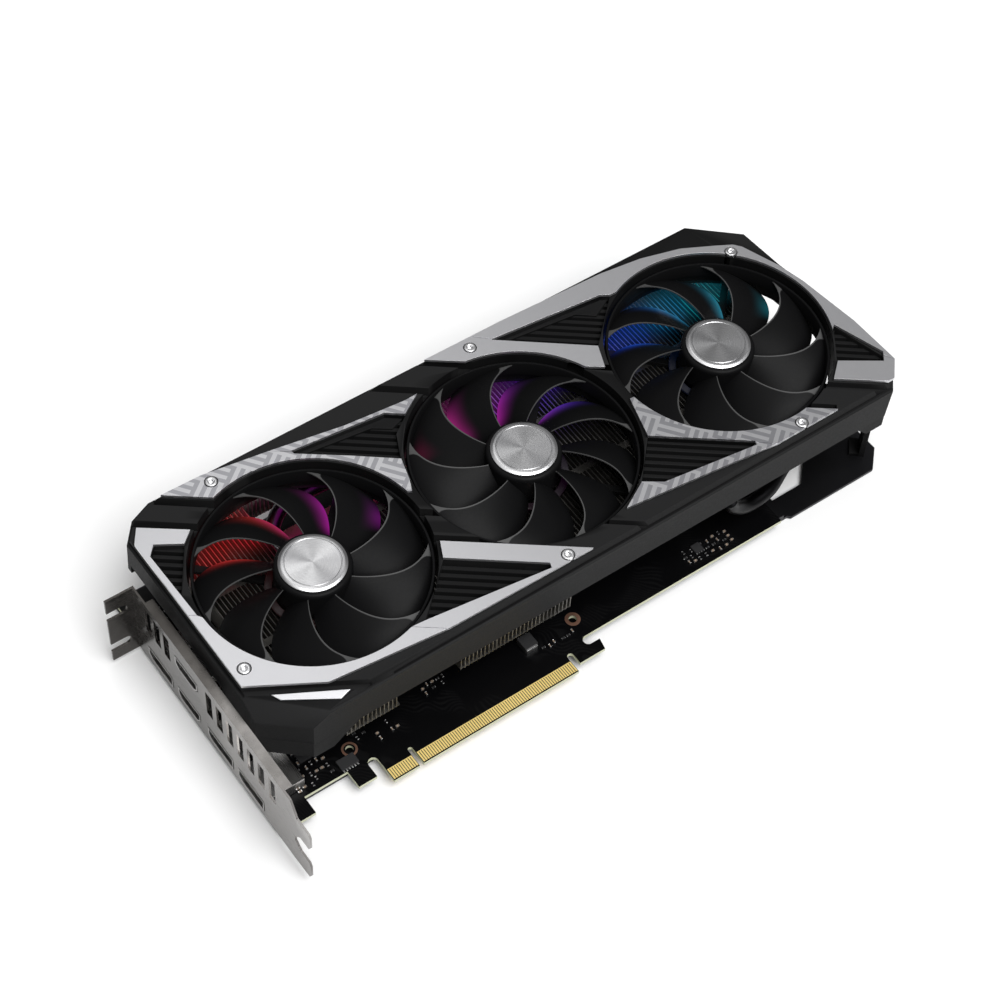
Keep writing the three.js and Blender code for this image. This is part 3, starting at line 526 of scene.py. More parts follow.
def board_material():
    """Black solder mask over faint copper tracks; the sawn edge shows pale glass fibre."""
    n = Nodes("solder_mask")
    place = n.place(DATUM)
    facing = n.math("ABSOLUTE", n.split(n.new("NewGeometry").outputs["Normal"])[2])
    flat = n.math("GREATER_THAN", facing, 0.5)
    wobble = n.noise(place, 28.0, 2.0, 0.5)
    swept = n.new("VectorMath", operation="ADD", inputs={0: place, 1: (0, 0, 0)})
    bend = n.new("CombineXYZ", inputs={"X": n.math("MULTIPLY", wobble, 0.05), "Y": n.math("MULTIPLY", wobble, 0.02)})
    n.put(swept.inputs[1], bend.outputs[0])
    waves = n.new("TexWave", bands_direction="DIAGONAL", inputs={"Vector": swept.outputs[0], "Scale": 260.0, "Distortion": 0.0})
    tracks = n.span(waves.outputs["Fac"], 0.62, 0.75, smooth=True)
    zones = n.span(n.noise(place, 45.0, 1.0), 0.5, 0.56, smooth=True)
    lines = n.math("MULTIPLY", tracks, zones)
    mask = n.mix(lines, (0.0015, 0.0015, 0.0018), (0.004, 0.004, 0.0043))
    fibre = n.mix(n.noise(place, 1800.0, 2.0), (0.44, 0.46, 0.33), (0.68, 0.69, 0.52))
    n.set(Base_Color=n.mix(flat, fibre, mask), Roughness=n.math("SUBTRACT", 0.62, n.math("MULTIPLY", flat, 0.27)))
    n.bump(n.math("MULTIPLY", lines, flat), 0.00003, 0.6)
    n.set(Specular_IOR_Level=0.1)
    return n.material


def guide_material():
    """Milky ring that carries the colour of its place on the card."""
    n = Nodes("light_guide")
    place = n.place(DATUM)
    cloud = n.noise(place, 300.0, 2.0)
    n.set(Base_Color=n.mix(cloud, (0.020, 0.020, 0.021), (0.030, 0.030, 0.032)), Roughness=n.span(cloud, 0.3, 0.7, 0.4, 0.5))
    n.set(Emission_Color=glow_color(n, place), Emission_Strength=0.008)
    return n.material


def bracket_material():
    """Bright nickel over cold-rolled steel, with painted reflection: darker towards the screw tab."""
    n = Nodes("nickel_sheet")
    place = n.place(DATUM)
    parts = n.split(place)
    lines = n.noise(n.turned(place, 0.0, (2, 2, 40)), 90.0, 4.0, 0.6)
    cloud = n.noise(place, 26.0, 3.0, 0.5)
    # painted reflection: colour runs from dark at the screw tab to light at the tip, broken up by a cloud
    along = n.math("ADD", n.span(parts[1], 0.100, -0.015), n.span(cloud, 0.35, 0.65, -0.22, 0.22))
    shade = n.ramp(along, [(0.0, (0.060, 0.056, 0.052)), (0.35, (0.10, 0.094, 0.088)), (0.62, (0.24, 0.23, 0.22)), (0.85, (0.20, 0.19, 0.185)), (1.0, (0.34, 0.33, 0.32))])
    n.set(Base_Color=shade, Metallic=1.0, Roughness=n.span(lines, 0.3, 0.7, 0.2, 0.3))
    n.bump(lines, 0.00002, 0.3)
    return n.material


NICKEL = bracket_material()
CAP = cap_material()
FIN = fin_material()
BOARD = board_material()
GUIDE = guide_material()

# ---------------------------------------------------------------- shroud
CREASE = [
    (-29.4, 15), (234.5, 15), (242.85, 24.5), (242.0, 48.5), (240.2, 77), (238.6, 90),
    (237.5, 112.5), (219, 129.3), (-36, 129.3), (-45, 125.5), (-52, 117), (-52, 36.6),
]
FAR_SPREAD = 133.6 - 129.3


FLARE_Z = 36.9
FLARE_NEAR, FLARE_LEFT = (-36.2, 15.8), (-52, 29.4)


def wall_outline(z):
    """Outline of the wall below the crease. The near left facet stands out from it."""
    drop = (CREASE_Z - z) / (CREASE_Z - SHROUD_Z0)
    points = []
    for x, y in CREASE:
        if y > 110:
            y += FAR_SPREAD * drop * min(1, (y - 110) / 19.3)
        elif y < 16:
            y += 0.8 * drop
        points.append((x, y))
    points[0], points[-1] = FLARE_NEAR, FLARE_LEFT
    return points


TOP = [
    (-13.5, 17.4), (235.2, 17.4), (241.9, 25), (241.1, 48.5), (239.2, 77), (237.4, 89),
    (235.9, 110.6), (217.6, 126.8), (-37, 126.8), (-44.6, 123.4), (-51.1, 115.8), (-51.1, 40.2),
]
POCKETS = [
    [(20, 117.4), (20.2, 115.6), (52.2, 91.3), (58, 103), (65.7, 108.4), (59.3, 113.3)],
    [(-49, 104.6), (-48.4, 84), (-35.8, 102.7), (-45.3, 108.6)],
    [(18, 25.9), (69.7, 19.1), (70.4, 21.3), (39.2, 44.9)],
    [(114.6, 120.8), (148.3, 94.8), (168.6, 113.6), (165.2, 115.8)],
    [(121.5, 32), (128.7, 27.1), (169.2, 21.5), (169.8, 23.4), (137, 48.2)],
    [(222.9, 36.3), (238.2, 26.1), (240.4, 28.6), (234, 51.6)],
]
# lit shelves inside two of the pockets, one step below the plates
SHELVES = [
    [(20.6, 117.0), (21.5, 115.2), (52, 111.2), (58.6, 106.6), (64.6, 108.6), (59.2, 112.8)],
    [(115.6, 120.2), (117.2, 118.6), (152, 114.4), (158.6, 109.2), (167.4, 113.6), (165.0, 115.2)],
]
RIM_Z = LEDGE_Z + 0.1
GROOVES = [
    ((-34.6, 126.4), (-14, 110.6), 3.2),
    ((-47, 122.4), (-26, 106.3), 3.0),
    ((-54, 39.6), (-12, 15.4), 3.4, RIM_Z),
    ((62, 127.5), (84, 110.6), 3.2),
    ((83, 129.5), (104, 113.4), 3.4),
    ((40, 56.6), (76, 29.6), 2.6),
    ((42, 69.6), (52, 61.9), 3.0),
    ((132, 95.0), (150, 81.2), 3.0),
    ((97.5, 27), (112.5, 15.5), 2.0, RIM_Z),
    ((208, 33), (234.5, 12.7), 3.4, RIM_Z),
    ((198, 27), (208, 19.3), 2.4),
]
WALL = 2.2


def skirt(points, z0):
    """Wall of the shroud that hangs lower than the rest, along a line of points."""
    tools = []
    for start, end in zip(points, points[1:]):
        bm = bmesh.new()
        beam(bm, start, end, WALL, z0, SHROUD_Z0 + 1)
        tools.append(mesh_object("tool", bm, smooth=None))
    return tools


def shroud():
    bm = bmesh.new()
    ledge = inset(CREASE, 1.1)
    walls = [(z, wall_outline(z)) for z in (SHROUD_Z0, FLARE_Z)]
    loft(bm, walls + [(CREASE_Z, CREASE), (LEDGE_Z, ledge), (SHROUD_Z1, TOP)])
    made = mesh_object("shroud_shell", bm, SHROUD, smooth=None)
    boolean(made, [prism_tool(inset(CREASE, WALL), SHROUD_Z0 - 1, ROOF_Z)])
    boolean(made, [disc_tool(*c, COLLAR_R, 29.8, ROOF_Z + 1) for c in FANS], "UNION")
    boolean(made, [disc_tool(*c, OPENING_R, 20, TOP_Z + 1) for c in FANS])
    for piece in skirt([(-50.9, 52), (-50.9, 29.9), (-35.8, 16.4)], 18.0):
        boolean(made, [piece], "UNION")
    for piece in skirt([(233.4, 16.9), (241.6, 25.6), (240.9, 46)], 20.0):
        boolean(made, [piece], "UNION")
    under = SHROUD_Z0 + 1
    boolean(made, [fence_tool([(-36.4, under), (-36.4, 17), (-27.6, 17), (-20.7, 22.6), (-14, under)], 15.9, 18.1)], "UNION")
    boolean(made, [fence_tool([(219.5, under), (226.5, 20), (234.6, 20), (234.6, under)], 16, 18.2)], "UNION")
    cuts = [prism_tool([(-60, 52), (-48.8, 52), (-48.8, 116), (-60, 116)], 20, 30.5)]
    for start, end, width, *floor in GROOVES:
        groove = bmesh.new()
        beam(groove, start, end, width, floor[0] if floor else POCKET_Z, TOP_Z)
        cuts.append(mesh_object("tool", groove, smooth=None))
    # hairline step between the wall and the sloping facet above it
    for start, end in (((-2, 16.2), (235, 16.2)), ((-51.0, 37.6), (-51.0, 117))):
        line = bmesh.new()
        beam(line, start, end, 0.7, LEDGE_Z - 0.25, LEDGE_Z + 1.2)
        cuts.append(mesh_object("tool", line, smooth=None))
    for cut in cuts:
        boolean(made, [cut])
    boolean(made, [prism_tool(corners, POCKET_Z, TOP_Z) for corners in POCKETS])
    boolean(made, [disc_tool(*c, 1.5, 41.5, TOP_Z, 24) for c in SCREWS])
    clean(made, 30.0)
    bevel(made, 0.35, 2, 28.0)
    return finish_piece(made, "card", ["fan_shroud"])


def pocket_ribs():
    """Slanting louvre bars on the floor of each pocket."""
    bars = []
    for k, corners in enumerate(POCKETS):
        xs, ys = [p[0] for p in corners], [p[1] for p in corners]
        centre = Vector(((min(xs) + max(xs)) / 2, (min(ys) + max(ys)) / 2))
        reach = math.hypot(max(xs) - min(xs), max(ys) - min(ys))
        along = Vector((math.cos(SLANT), math.sin(SLANT)))
        across = Vector((-along.y, along.x))
        bm = bmesh.new()
        half = int(reach / 2 / 3.3)
        for i in range(-half, half + 1):
            mid = centre + across * (i + 0.5) * 3.3
            beam(bm, mid - along * reach, mid + along * reach, 1.7, POCKET_Z - 0.2, RIB_Z)
        made = mesh_object(f"louvre_bars_{k + 1}", bm, SHROUD, smooth=None)
        boolean(made, [prism_tool(corners, POCKET_Z - 1, TOP_Z)], "INTERSECT")
        tools = [disc_tool(*c, OPENING_R + 0.01, 20, TOP_Z + 1) for c in FANS]
        boolean(made, tools)
        clean(made, 30.0)
        bevel(made, 0.3, 2)
        bars.append(finish_piece(made, "card"))
    for k, corners in enumerate(SHELVES):
        bm = bmesh.new()
        prism(bm, list(reversed(corners)), POCKET_Z - 0.2, 45.2)
        made = mesh_object(f"pocket_shelf_{k + 1}", bm, SHROUD, smooth=None)
        boolean(made, [disc_tool(*c, OPENING_R + 0.01, 20, TOP_Z + 1) for c in FANS])
        bevel(clean(made, 30.0), 0.3, 2)
        finish_piece(made, "card")
    return bars


# ---------------------------------------------------------------- silver plates
ACCENTS = {
    "accent_plate_1": [
        (-31.6, 126.5), (-15.5, 114.4), (10, 113), (40, 92), (45.3, 77.2), (47.1, 76.5), (49.5, 82),
        (52.2, 91.3), (37, 103.1), (20, 115.6), (19.8, 117.4), (59.3, 113.3), (65.7, 108.4),
        (75.1, 114.1), (69.3, 113.9), (43.4, 116.4), (13.3, 121.8), (-14.7, 126.2),
    ],
    "accent_plate_2": [
        (-51.0, 112.4), (-51.0, 39.0), (-24.6, 23.5), (23.5, 18.4), (87.7, 17.8), (42.6, 51.8),
        (39.2, 44.9), (70.4, 21.3), (69.7, 19.1), (18, 25.9), (11.8, 26.4), (0, 60), (-40, 60),
        (-48.3, 73.1), (-49, 104.6), (-45.3, 108.6), (-35.8, 102.7), (-30.7, 106.9), (-46.6, 118.6),
    ],
    "accent_plate_3": [
        (87.1, 126.6), (103.1, 114.9), (120, 104), (139.2, 88), (144.1, 84.7), (148.3, 94.8),
        (114.6, 120.8), (165.2, 115.8), (168.6, 113.6), (190, 113), (205, 114), (207.8, 117.8),
        (190.7, 122.4), (172.1, 124.8), (123.7, 126.5),
    ],
    "accent_plate_4": [
        (142.4, 66.5), (137, 48.2), (169.8, 23.4), (169.2, 21.5), (128.7, 27.1), (121.5, 32),
        (109.3, 25.4), (176.2, 17.6), (206.9, 17.6), (196.5, 25.2), (192, 40), (150, 66),
    ],
    "accent_plate_5": [
        (207.8, 117.8), (205, 114), (225, 90), (229, 60), (226, 45), (234, 51.6), (241.2, 30),
        (238.2, 26.1), (222.9, 36.3), (215.5, 30.1), (233, 17.2), (235.9, 17.2), (242.6, 24.6),
        (242.2, 48.4), (238.8, 76.5), (235.9, 88.8), (229.9, 104.7), (227.5, 107.6), (220.9, 111.2),
    ],
}
# hairline joints between neighbouring plates
SEAMS = [
    ((-53, 76.2), (-46, 71.8)),
    ((12, 26.8), (25, 16.9)),
    ((12, 122.6), (22, 115.0)),
    ((108, 127.4), (116, 120.2)),
    ((169.4, 22.6), (177.5, 16.6)),
    ((239.8, 28.6), (244, 22.0)),
]


def accent_plates():
    for name, corners in ACCENTS.items():
        made = prism_tool(corners, PLATE_Z0, PLATE_Z1)
        made.name = f"trim_{name[-1]}"
        boolean(made, [disc_tool(*c, OPENING_R + 0.5, 40, 50) for c in FANS])
        boolean(made, [disc_tool(*c, 2.7, 40, 50, 40) for c in SCREWS])
        tools = []
        for start, end in SEAMS:
            bm = bmesh.new()
            beam(bm, start, end, 0.22, PLATE_Z1 - 0.5, PLATE_Z1 + 1)
            tools.append(mesh_object("tool", bm, smooth=None))
        boolean(made, tools)
        clean(made, 30.0)
        made.data.materials.clear()
        made.data.materials.append(SILVER_WOVEN if name[-1] in "14" else SILVER)
        bevel(made, 0.28, 3, 28.0)
        finish_piece(made, "card", [name])


def corner_badge():
    """Blank bevelled badge on the sloping facet of the near left corner."""
    ledge = inset(CREASE, 1.1)
    foot = Vector((*ledge[-1], LEDGE_Z))
    along = (Vector((*ledge[0], LEDGE_Z)) - foot).normalized()
    crest = Vector((*TOP[0], SHROUD_Z1)) - foot
    normal = along.cross(crest).normalized()
    up = normal.cross(along)
    bm = bmesh.new()
    prism(bm, [(8.8, 1.9), (12.6, 0.5), (33.5, 4.2), (36.3, 8.2)], 0.1, 0.9)
    axes = Matrix((along, up, normal)).transposed().to_4x4()
    bm.transform(Matrix.Translation(foot) @ axes)
    made = mesh_object("blank_badge", bm, SILVER, smooth=None)
    bevel(made, 0.22, 2)
    finish_piece(made, "card", ["corner_badge"])


def shroud_screws():
    for i, (x, y) in enumerate(SCREWS):
        bm = bmesh.new()
        head = [(0, 42), (1.2, 42), (1.2, 46.4), (2.1, 46.4), (2.4, 46.7), (2.4, 47.5), (2.25, 47.85), (1.9, TOP_Z)]
        lathe(bm, head + [(1.25, TOP_Z), (1.1, 47.9), (1.1, 46.7), (0, 46.4)], x, y, 48)
        made = mesh_object(f"trim_screw_{i + 1}", bm, SCREW, 35)
        finish_piece(made, "card", [f"shroud_screw_{i + 1}"])


# ---------------------------------------------------------------- fans
BLADE_ROWS, BLADE_COLS = 22, 14
CHORD = 34.0


def blade(bm, uv, spin, start):
    """Swept, cambered and rounded sheet from the hub to the ring. UV holds (reach, chord)."""
    inner, outer = HUB_R - 0.6, RING_IN_R + 0.4
    sides = []
    for side in (0, 1):
        grid = []
        for i in range(BLADE_ROWS + 1):
            t = i / BLADE_ROWS
            radius = inner + (outer - inner) * t
            sweep = -10 + 20 * t + 11 * t**5
            row = []
            for j in range(BLADE_COLS + 1):
                s = j / BLADE_COLS
                angle = start + math.radians(spin * (sweep - CHORD * s))
                height = 42.6 - 9.4 * (s * 0.65 + s * s * 0.35)
                thick = 0.35 + 0.85 * math.sin(math.pi * min(1, s * 1.6 + 0.12) / 2) * (1 - 0.45 * s)
                z = height - side * thick
                row.append((bm.verts.new((radius * math.cos(angle), radius * math.sin(angle), z)), (t, s)))
            grid.append(row)
        sides.append(grid)

    def quad(*corners):
        face = bm.faces.new([c[0] for c in corners])
        for loop, corner in zip(face.loops, corners):
            loop[uv].uv = corner[1]

    top, low = sides
    for i in range(BLADE_ROWS):
        for j in range(BLADE_COLS):
            quad(top[i][j], top[i][j + 1], top[i + 1][j + 1], top[i + 1][j])
            quad(low[i][j], low[i + 1][j], low[i + 1][j + 1], low[i][j + 1])
        quad(top[i][0], top[i + 1][0], low[i + 1][0], low[i][0])
        quad(top[i][-1], low[i][-1], low[i + 1][-1], top[i + 1][-1])
    for j in range(BLADE_COLS):
        quad(top[0][j], low[0][j], low[0][j + 1], top[0][j + 1])
        quad(top[-1][j], top[-1][j + 1], low[-1][j + 1], low[-1][j])


def rotor(index, centre, spin):
    bm = bmesh.new()
    uv = bm.loops.layers.uv.new("reach_chord")
    hub = [
        (0, 33.6), (1.25, 33.6), (1.25, 42.8), (13.2, 42.8), (13.2, 31.8), (14.6, 31.8), (14.8, 32.0),
        (14.8, 42.6), (14.7, 43.3), (14.35, 43.9), (13.8, 44.3), (13.2, 44.4), (0, 44.4),
    ]
    lathe(bm, hub, segments=96)
    ring = [(43.7, 36.7), (44.6, 36.6), (44.8, 36.8), (44.8, 43.0), (44.6, 43.3), (43.9, 43.3), (43.7, 43.0)]
    lathe(bm, ring, segments=144, closed=True)
    for k in range(BLADES):
        blade(bm, uv, spin, 2 * math.pi * k / BLADES)
    for vert in bm.verts:
        vert.co += Vector((*centre, 0))
    hub_point = at(*centre, 38.0)
    made = mesh_object(f"rotor_{index}", bm, blade_material(index, hub_point), 38)
    recentre(made, hub_point)
    finish_piece(made, f"fan_{index}", [f"fan_rotor_{index}"])


def hub_cap(index, centre):
    """Spun cap with a polished chamfer and one engraved circle."""
    bm = bmesh.new()
    profile = [
        (0, 44.45), (12.9, 44.45), (13.0, 44.55), (13.0, 44.95), (12.9, 45.1), (12.0, 45.55), (11.8, 45.6),
        (10.95, 45.6), (10.85, 45.5), (10.75, 45.42), (10.55, 45.42), (10.45, 45.5), (10.35, 45.6), (0, 45.6),
    ]
    lathe(bm, profile, segments=128)
    for vert in bm.verts:
        vert.co += Vector((*centre, 0))
    made = mesh_object(f"cap_{index}", bm, CAP, 20)
    recentre(made, at(*centre, 45.0))
    finish_piece(made, f"fan_{index}", [f"hub_cap_{index}"])


def fan_motor(index, centre):
    bm = bmesh.new()
    body = [(0, 27.4), (11.9, 27.4), (12.2, 27.7), (12.2, 40.3), (11.9, 40.6), (1.6, 40.6), (1.6, 31), (0, 31)]
    lathe(bm, body, *centre, 64)
    for k in range(4):
        angle = math.pi / 4 + k * math.pi / 2
        way = Vector((math.cos(angle), math.sin(angle)))
        beam(bm, Vector(centre) + way * 10, Vector(centre) + way * 48.5, 3.0, 27.4, 29.4)
    made = mesh_object(f"motor_{index}", bm, BLACK, 35)
    bevel(made, 0.25, 2)
    finish_piece(made, "card", [f"fan_motor_{index}"])


def light_ring(index, centre):
    bm = bmesh.new()
    ring = [(15.6, 29.7), (18.0, 29.7), (18.2, 29.9), (18.2, 30.7), (17.8, 31.0), (15.8, 31.0), (15.4, 30.7), (15.4, 29.9)]
    lathe(bm, ring, *centre, 96, closed=True)
    made = mesh_object(f"guide_{index}", bm, GUIDE, 35)
    finish_piece(made, "card", [f"light_ring_{index}"])


# ---------------------------------------------------------------- cooler
FIN_PITCH, FIN_T = 1.8, 0.42


def fin_stack(name, node, reach):
    """Thin fins at the real pitch, tied by folded tabs. reach gives the spans of y at an x."""
    lo, hi = cad(node)
    bm = bmesh.new()
    count = int((hi.x - lo.x - FIN_T) / FIN_PITCH)
    for i in range(count + 1):
        x = lo.x + i * FIN_PITCH
        for near, far in reach(x):
            block(bm, x, x + FIN_T, near, far, lo.z, hi.z)
            if i == count:
                continue
            block(bm, x + FIN_T, x + FIN_PITCH, near + 0.2, far - 0.2, lo.z, lo.z + 0.4)
            for y in (30, 60, 88, 121):
                if near < y < far:
                    block(bm, x + FIN_T, x + FIN_PITCH, y, y + 3.0, hi.z - 0.45, hi.z - 0.1)
    made = mesh_object(name, bm, FIN, smooth=None)
    finish_piece(made, "card", [node])


def front_reach(x):
    near = 18.6 if -21 < x < 2.3 or 29.5 < x else 24.0
    if x < -2.2:
        return [(near, 126.0)]
    return [(near, 95.0), (120.0, 126.0)]


def rear_reach(x):
    return [(24.0, 126.0 if x < 205 else 117.5)]


PIPE_R = 3.0
PIPE_Z = 10.35
PIPES = {
    **{
        f"heat_pipe_{i + 1}": [
            (-34, y - 6, PIPE_Z), (0, y, PIPE_Z), (70, y, PIPE_Z), (120, 43 + i * 19, PIPE_Z), (222, 43 + i * 19, PIPE_Z),
        ]
        for i, y in enumerate((56, 68, 80))
    },
    "heat_pipe_4": [
        (66, 92, PIPE_Z), (34, 92, PIPE_Z), (12, 95.5, PIPE_Z), (3, 105, 13), (12, 115, 18), (36, 116, 19), (78, 116, 19),
    ],
    "heat_pipe_5": [
        (215, 31, PIPE_Z), (196, 27.5, PIPE_Z), (181, 21, PIPE_Z), (168, 19.4, 11.5), (160.5, 19.4, 17), (158, 19.6, 22.6),
    ],
}


def centripetal(points, steps):
    """Centripetal Catmull-Rom curve through points."""
    nodes = [Vector(p) for p in points]
    nodes = [2 * nodes[0] - nodes[1]] + nodes + [2 * nodes[-1] - nodes[-2]]
    line = []
    for p0, p1, p2, p3 in zip(nodes, nodes[1:], nodes[2:], nodes[3:]):
        t0 = 0.0
        t1 = t0 + (p1 - p0).length ** 0.5
        t2 = t1 + (p2 - p1).length ** 0.5
        t3 = t2 + (p3 - p2).length ** 0.5
        for k in range(steps):
            t = t1 + (t2 - t1) * k / steps
            a1 = p0.lerp(p1, (t - t0) / (t1 - t0))
            a2 = p1.lerp(p2, (t - t1) / (t2 - t1))
            a3 = p2.lerp(p3, (t - t2) / (t3 - t2))
            b1 = a1.lerp(a2, (t - t0) / (t2 - t0))
            b2 = a2.lerp(a3, (t - t1) / (t3 - t1))
            line.append(b1.lerp(b2, (t - t1) / (t2 - t1)))
    line.append(nodes[-2])
    return line


def tube(bm, line, radii, sides=28):
    """Round tube along a line of points, closed at both ends."""
    rings = []
    forward = (line[1] - line[0]).normalized()
    side = forward.orthogonal().normalized()
    for i, point in enumerate(line):
        ahead = line[min(i + 1, len(line) - 1)] - line[max(i - 1, 0)]
        forward = ahead.normalized()
        side = (side - forward * side.dot(forward)).normalized()
        up = forward.cross(side)
        turn = [2 * math.pi * k / sides for k in range(sides)]
        rings.append([bm.verts.new(point + (side * math.cos(t) + up * math.sin(t)) * radii[i]) for t in turn])
    for low, high in zip(rings, rings[1:]):
        for k in range(sides):
            m = (k + 1) % sides
            bm.faces.new((low[k], low[m], high[m], high[k]))
    bm.faces.new(rings[0])
    bm.faces.new(list(reversed(rings[-1])))


def heat_pipes():
    for name, points in PIPES.items():
        line = centripetal(points, 14)
        count = len(line)
        radii = [PIPE_R * min(1.0, 0.55 + 0.16 * min(i, count - 1 - i)) for i in range(count)]
        bm = bmesh.new()
        tube(bm, line, radii)
        finish = TAIL_PIPE if name == "heat_pipe_5" else PIPE
        made = mesh_object(name.replace("heat_", "cooling_"), bm, finish, 40)
        finish_piece(made, "card", [name])


# ---------------------------------------------------------------- bracket and sockets
SOCKET_Z, SOCKET_W, SOCKET_H, SOCKET_DEPTH = 3.3, 17.0, 6.0, 17.5
HDMI_W, HDMI_Y, HDMI_UPPER_Z = 15.2, 67.2, 24.3
DP_Y = (24.4, 45.3, 87.6)
SHEET = 0.86
BRACKET_Z0, BRACKET_Z1 = -3.71, 35.03
TIP_Y, HIGH_Y = -14.96, 105.06
SLOT_PITCH = 20.32
STAND = Matrix(((0, 0, 1, 0), (1, 0, 0, 0), (0, 1, 0, 0), (0, 0, 0, 1)))


def socket_front(y, z, width, height, left, right):
    """Socket outline in (y, z) with cut lower corners."""
    return [
        (y - width / 2 + left, z - height / 2),
        (y + width / 2 - right, z - height / 2),
        (y + width / 2, z - height / 2 + right),
        (y + width / 2, z + height / 2),
        (y - width / 2, z + height / 2),
        (y - width / 2, z - height / 2 + left),
    ]


def standing_tool(points, x0, x1):
    """Prism whose outline lies in (y, z) and which runs along X."""
    bm = bmesh.new()
    prism(bm, points, x0, x1)
    bm.transform(STAND)
    return mesh_object("tool", bm, smooth=None)


def fence_tool(points, y0, y1):
    """Prism whose outline lies in (x, z) and which runs along Y."""
    bm = bmesh.new()
    prism(bm, points, -y1, -y0)
    bm.transform(Matrix.Rotation(math.pi / 2, 4, "X"))
    return mesh_object("tool", bm, smooth=None)


def io_bracket():
    tongue = 10.19
    low = BRACKET_Z0 + 0.6
    nxt = low + SLOT_PITCH
    plan = [
        (HIGH_Y, BRACKET_Z0), (HIGH_Y, BRACKET_Z1), (-2.5, BRACKET_Z1), (-6.5, nxt + tongue),
        (TIP_Y + 1, nxt + tongue), (TIP_Y, nxt + tongue - 2), (TIP_Y, nxt + 2), (TIP_Y + 1, nxt),
        (-8.5, nxt), (-5, nxt - 4), (-5, low + tongue + 3), (-8.5, low + tongue),
        (TIP_Y + 1, low + tongue), (TIP_Y, low + tongue - 2), (TIP_Y, low + 2), (TIP_Y + 1, low),
        (-5, BRACKET_Z0),
    ]
    made = standing_tool(plan, BRACKET_X, BRACKET_X + SHEET)
    made.name = "bracket_sheet"
    tab = bmesh.new()
    block(tab, BRACKET_X - TAB_DEPTH, BRACKET_X + SHEET, HIGH_Y - SHEET, HIGH_Y, BRACKET_Z0, BRACKET_Z1)
    flange = bmesh.new()
    block(flange, BRACKET_X, BRACKET_X + 4, 2, 96, BRACKET_Z1 - SHEET, BRACKET_Z1)
    boolean(made, [mesh_object("tool", tab, smooth=None), mesh_object("tool", flange, smooth=None)], "UNION")
    x0, x1 = BRACKET_X - 1, BRACKET_X + 3
    tools = [
        standing_tool(socket_front(y, SOCKET_Z, SOCKET_W + 0.6, SOCKET_H + 0.6, 0.1, 2), x0, x1) for y in DP_Y
    ]
    for z in (SOCKET_Z, HDMI_UPPER_Z):
        tools.append(standing_tool(socket_front(HDMI_Y, z, HDMI_W + 0.6, SOCKET_H + 0.6, 2, 2), x0, x1))
    vents = [(9.5 + i * 7, 17, 31) for i in range(7)] + [(81 + i * 6.6, 18, 32) for i in range(3)]
    for y, z_low, z_high in vents:
        slot = [(y - 2 + c[0] * 4, z_low + c[1] * (z_high - z_low)) for c in ((0, 0), (1, 0), (1, 1), (0, 1))]
        tools.append(standing_tool(slot, x0, x1))
    boolean(made, tools)
    notches = []
    for z in (4.7, 4.7 + SLOT_PITCH):
        bm = bmesh.new()
        centre = BRACKET_X - 5.1
        half_round = [
            (centre + 2.2 * math.cos(t), z + 2.2 * math.sin(t))
            for t in np.linspace(math.pi / 2, -math.pi / 2, 13)
        ]
        edge = BRACKET_X - TAB_DEPTH - 1
        prism(bm, [(edge, z - 2.2), (edge, z + 2.2)] + half_round, -110, -100)
        bm.transform(Matrix.Rotation(math.pi / 2, 4, "X"))
        notches.append(mesh_object("tool", bm, smooth=None))
    boolean(made, notches)
    clean(made, 30.0)
    made.data.materials.clear()
    made.data.materials.append(NICKEL)
    bevel(made, 0.22, 3, 30.0)
    finish_piece(made, "card", ["io_bracket"])


def display_socket(node, name, y, z, width, left, right):
    """Folded metal shell round a black moulding whose tongue carries a row of contacts."""
    front = BRACKET_X - 0.2
    back = front + SOCKET_DEPTH
    shell = standing_tool(socket_front(y, z, width, SOCKET_H, left, right), front, back)
    shell.name = name
    mouth = socket_front(y, z, width - 0.9, SOCKET_H - 0.9, max(left - 0.2, 0.1), max(right - 0.2, 0.1))
    boolean(shell, [standing_tool(mouth, front - 1, back - 1)])
    if node == "hdmi_port_upper":
        leg = bmesh.new()
        block(leg, back + 0.3, back + 5, y - 7, y + 7, 0.05, z + 2.9)
        block(leg, back - 2.0, back + 4, y - 6.9, y + 6.9, z - 2.7, z + 2.7)
        block(leg, back + 0.2, back + 5, y - 7, y - 5, z - 6, z - 2)
        boolean(shell, [mesh_object("tool", leg, smooth=None)], "UNION")
    clean(shell, 30.0)
    shell.data.materials.clear()
    shell.data.materials.append(SHELL)
    bevel(shell, 0.12, 2, 30.0)
    finish_piece(shell, "card", [node])
    bm = bmesh.new()
    half = width / 2 - 2.5
    block(bm, front + 6, front + 13.6, y - half, y + half, z - 0.1, z + 0.85)
    block(bm, front + 13.5, front + 15.5, y - width / 2 + 0.6, y + width / 2 - 0.6, z - 2.3, z + 2.3)
    core = mesh_object(f"{name}_core", bm, SOCKET_BLACK, smooth=None)
    bevel(core, 0.12, 2)
    finish_piece(core, "card")
    bm = bmesh.new()
    for k in range(10):
        step = (k - 4.5) * (2 * half - 1.2) / 9.5
        block(bm, front + 6.6, front + 13.4, y + step - 0.2, y + step + 0.2, z - 0.18, z - 0.1)
    pins = mesh_object(f"{name}_contacts", bm, GOLD, smooth=None)
    finish_piece(pins, "card")


def sockets():
    for i, y in enumerate(DP_Y):
        display_socket(f"display_port_{i + 1}", f"display_socket_{i + 1}", y, SOCKET_Z, SOCKET_W, 0.1, 2)
    display_socket("hdmi_port_lower", "video_socket_low", HDMI_Y, SOCKET_Z, HDMI_W, 2, 2)
    display_socket("hdmi_port_upper", "video_socket_high", HDMI_Y, HDMI_UPPER_Z, HDMI_W, 2, 2)


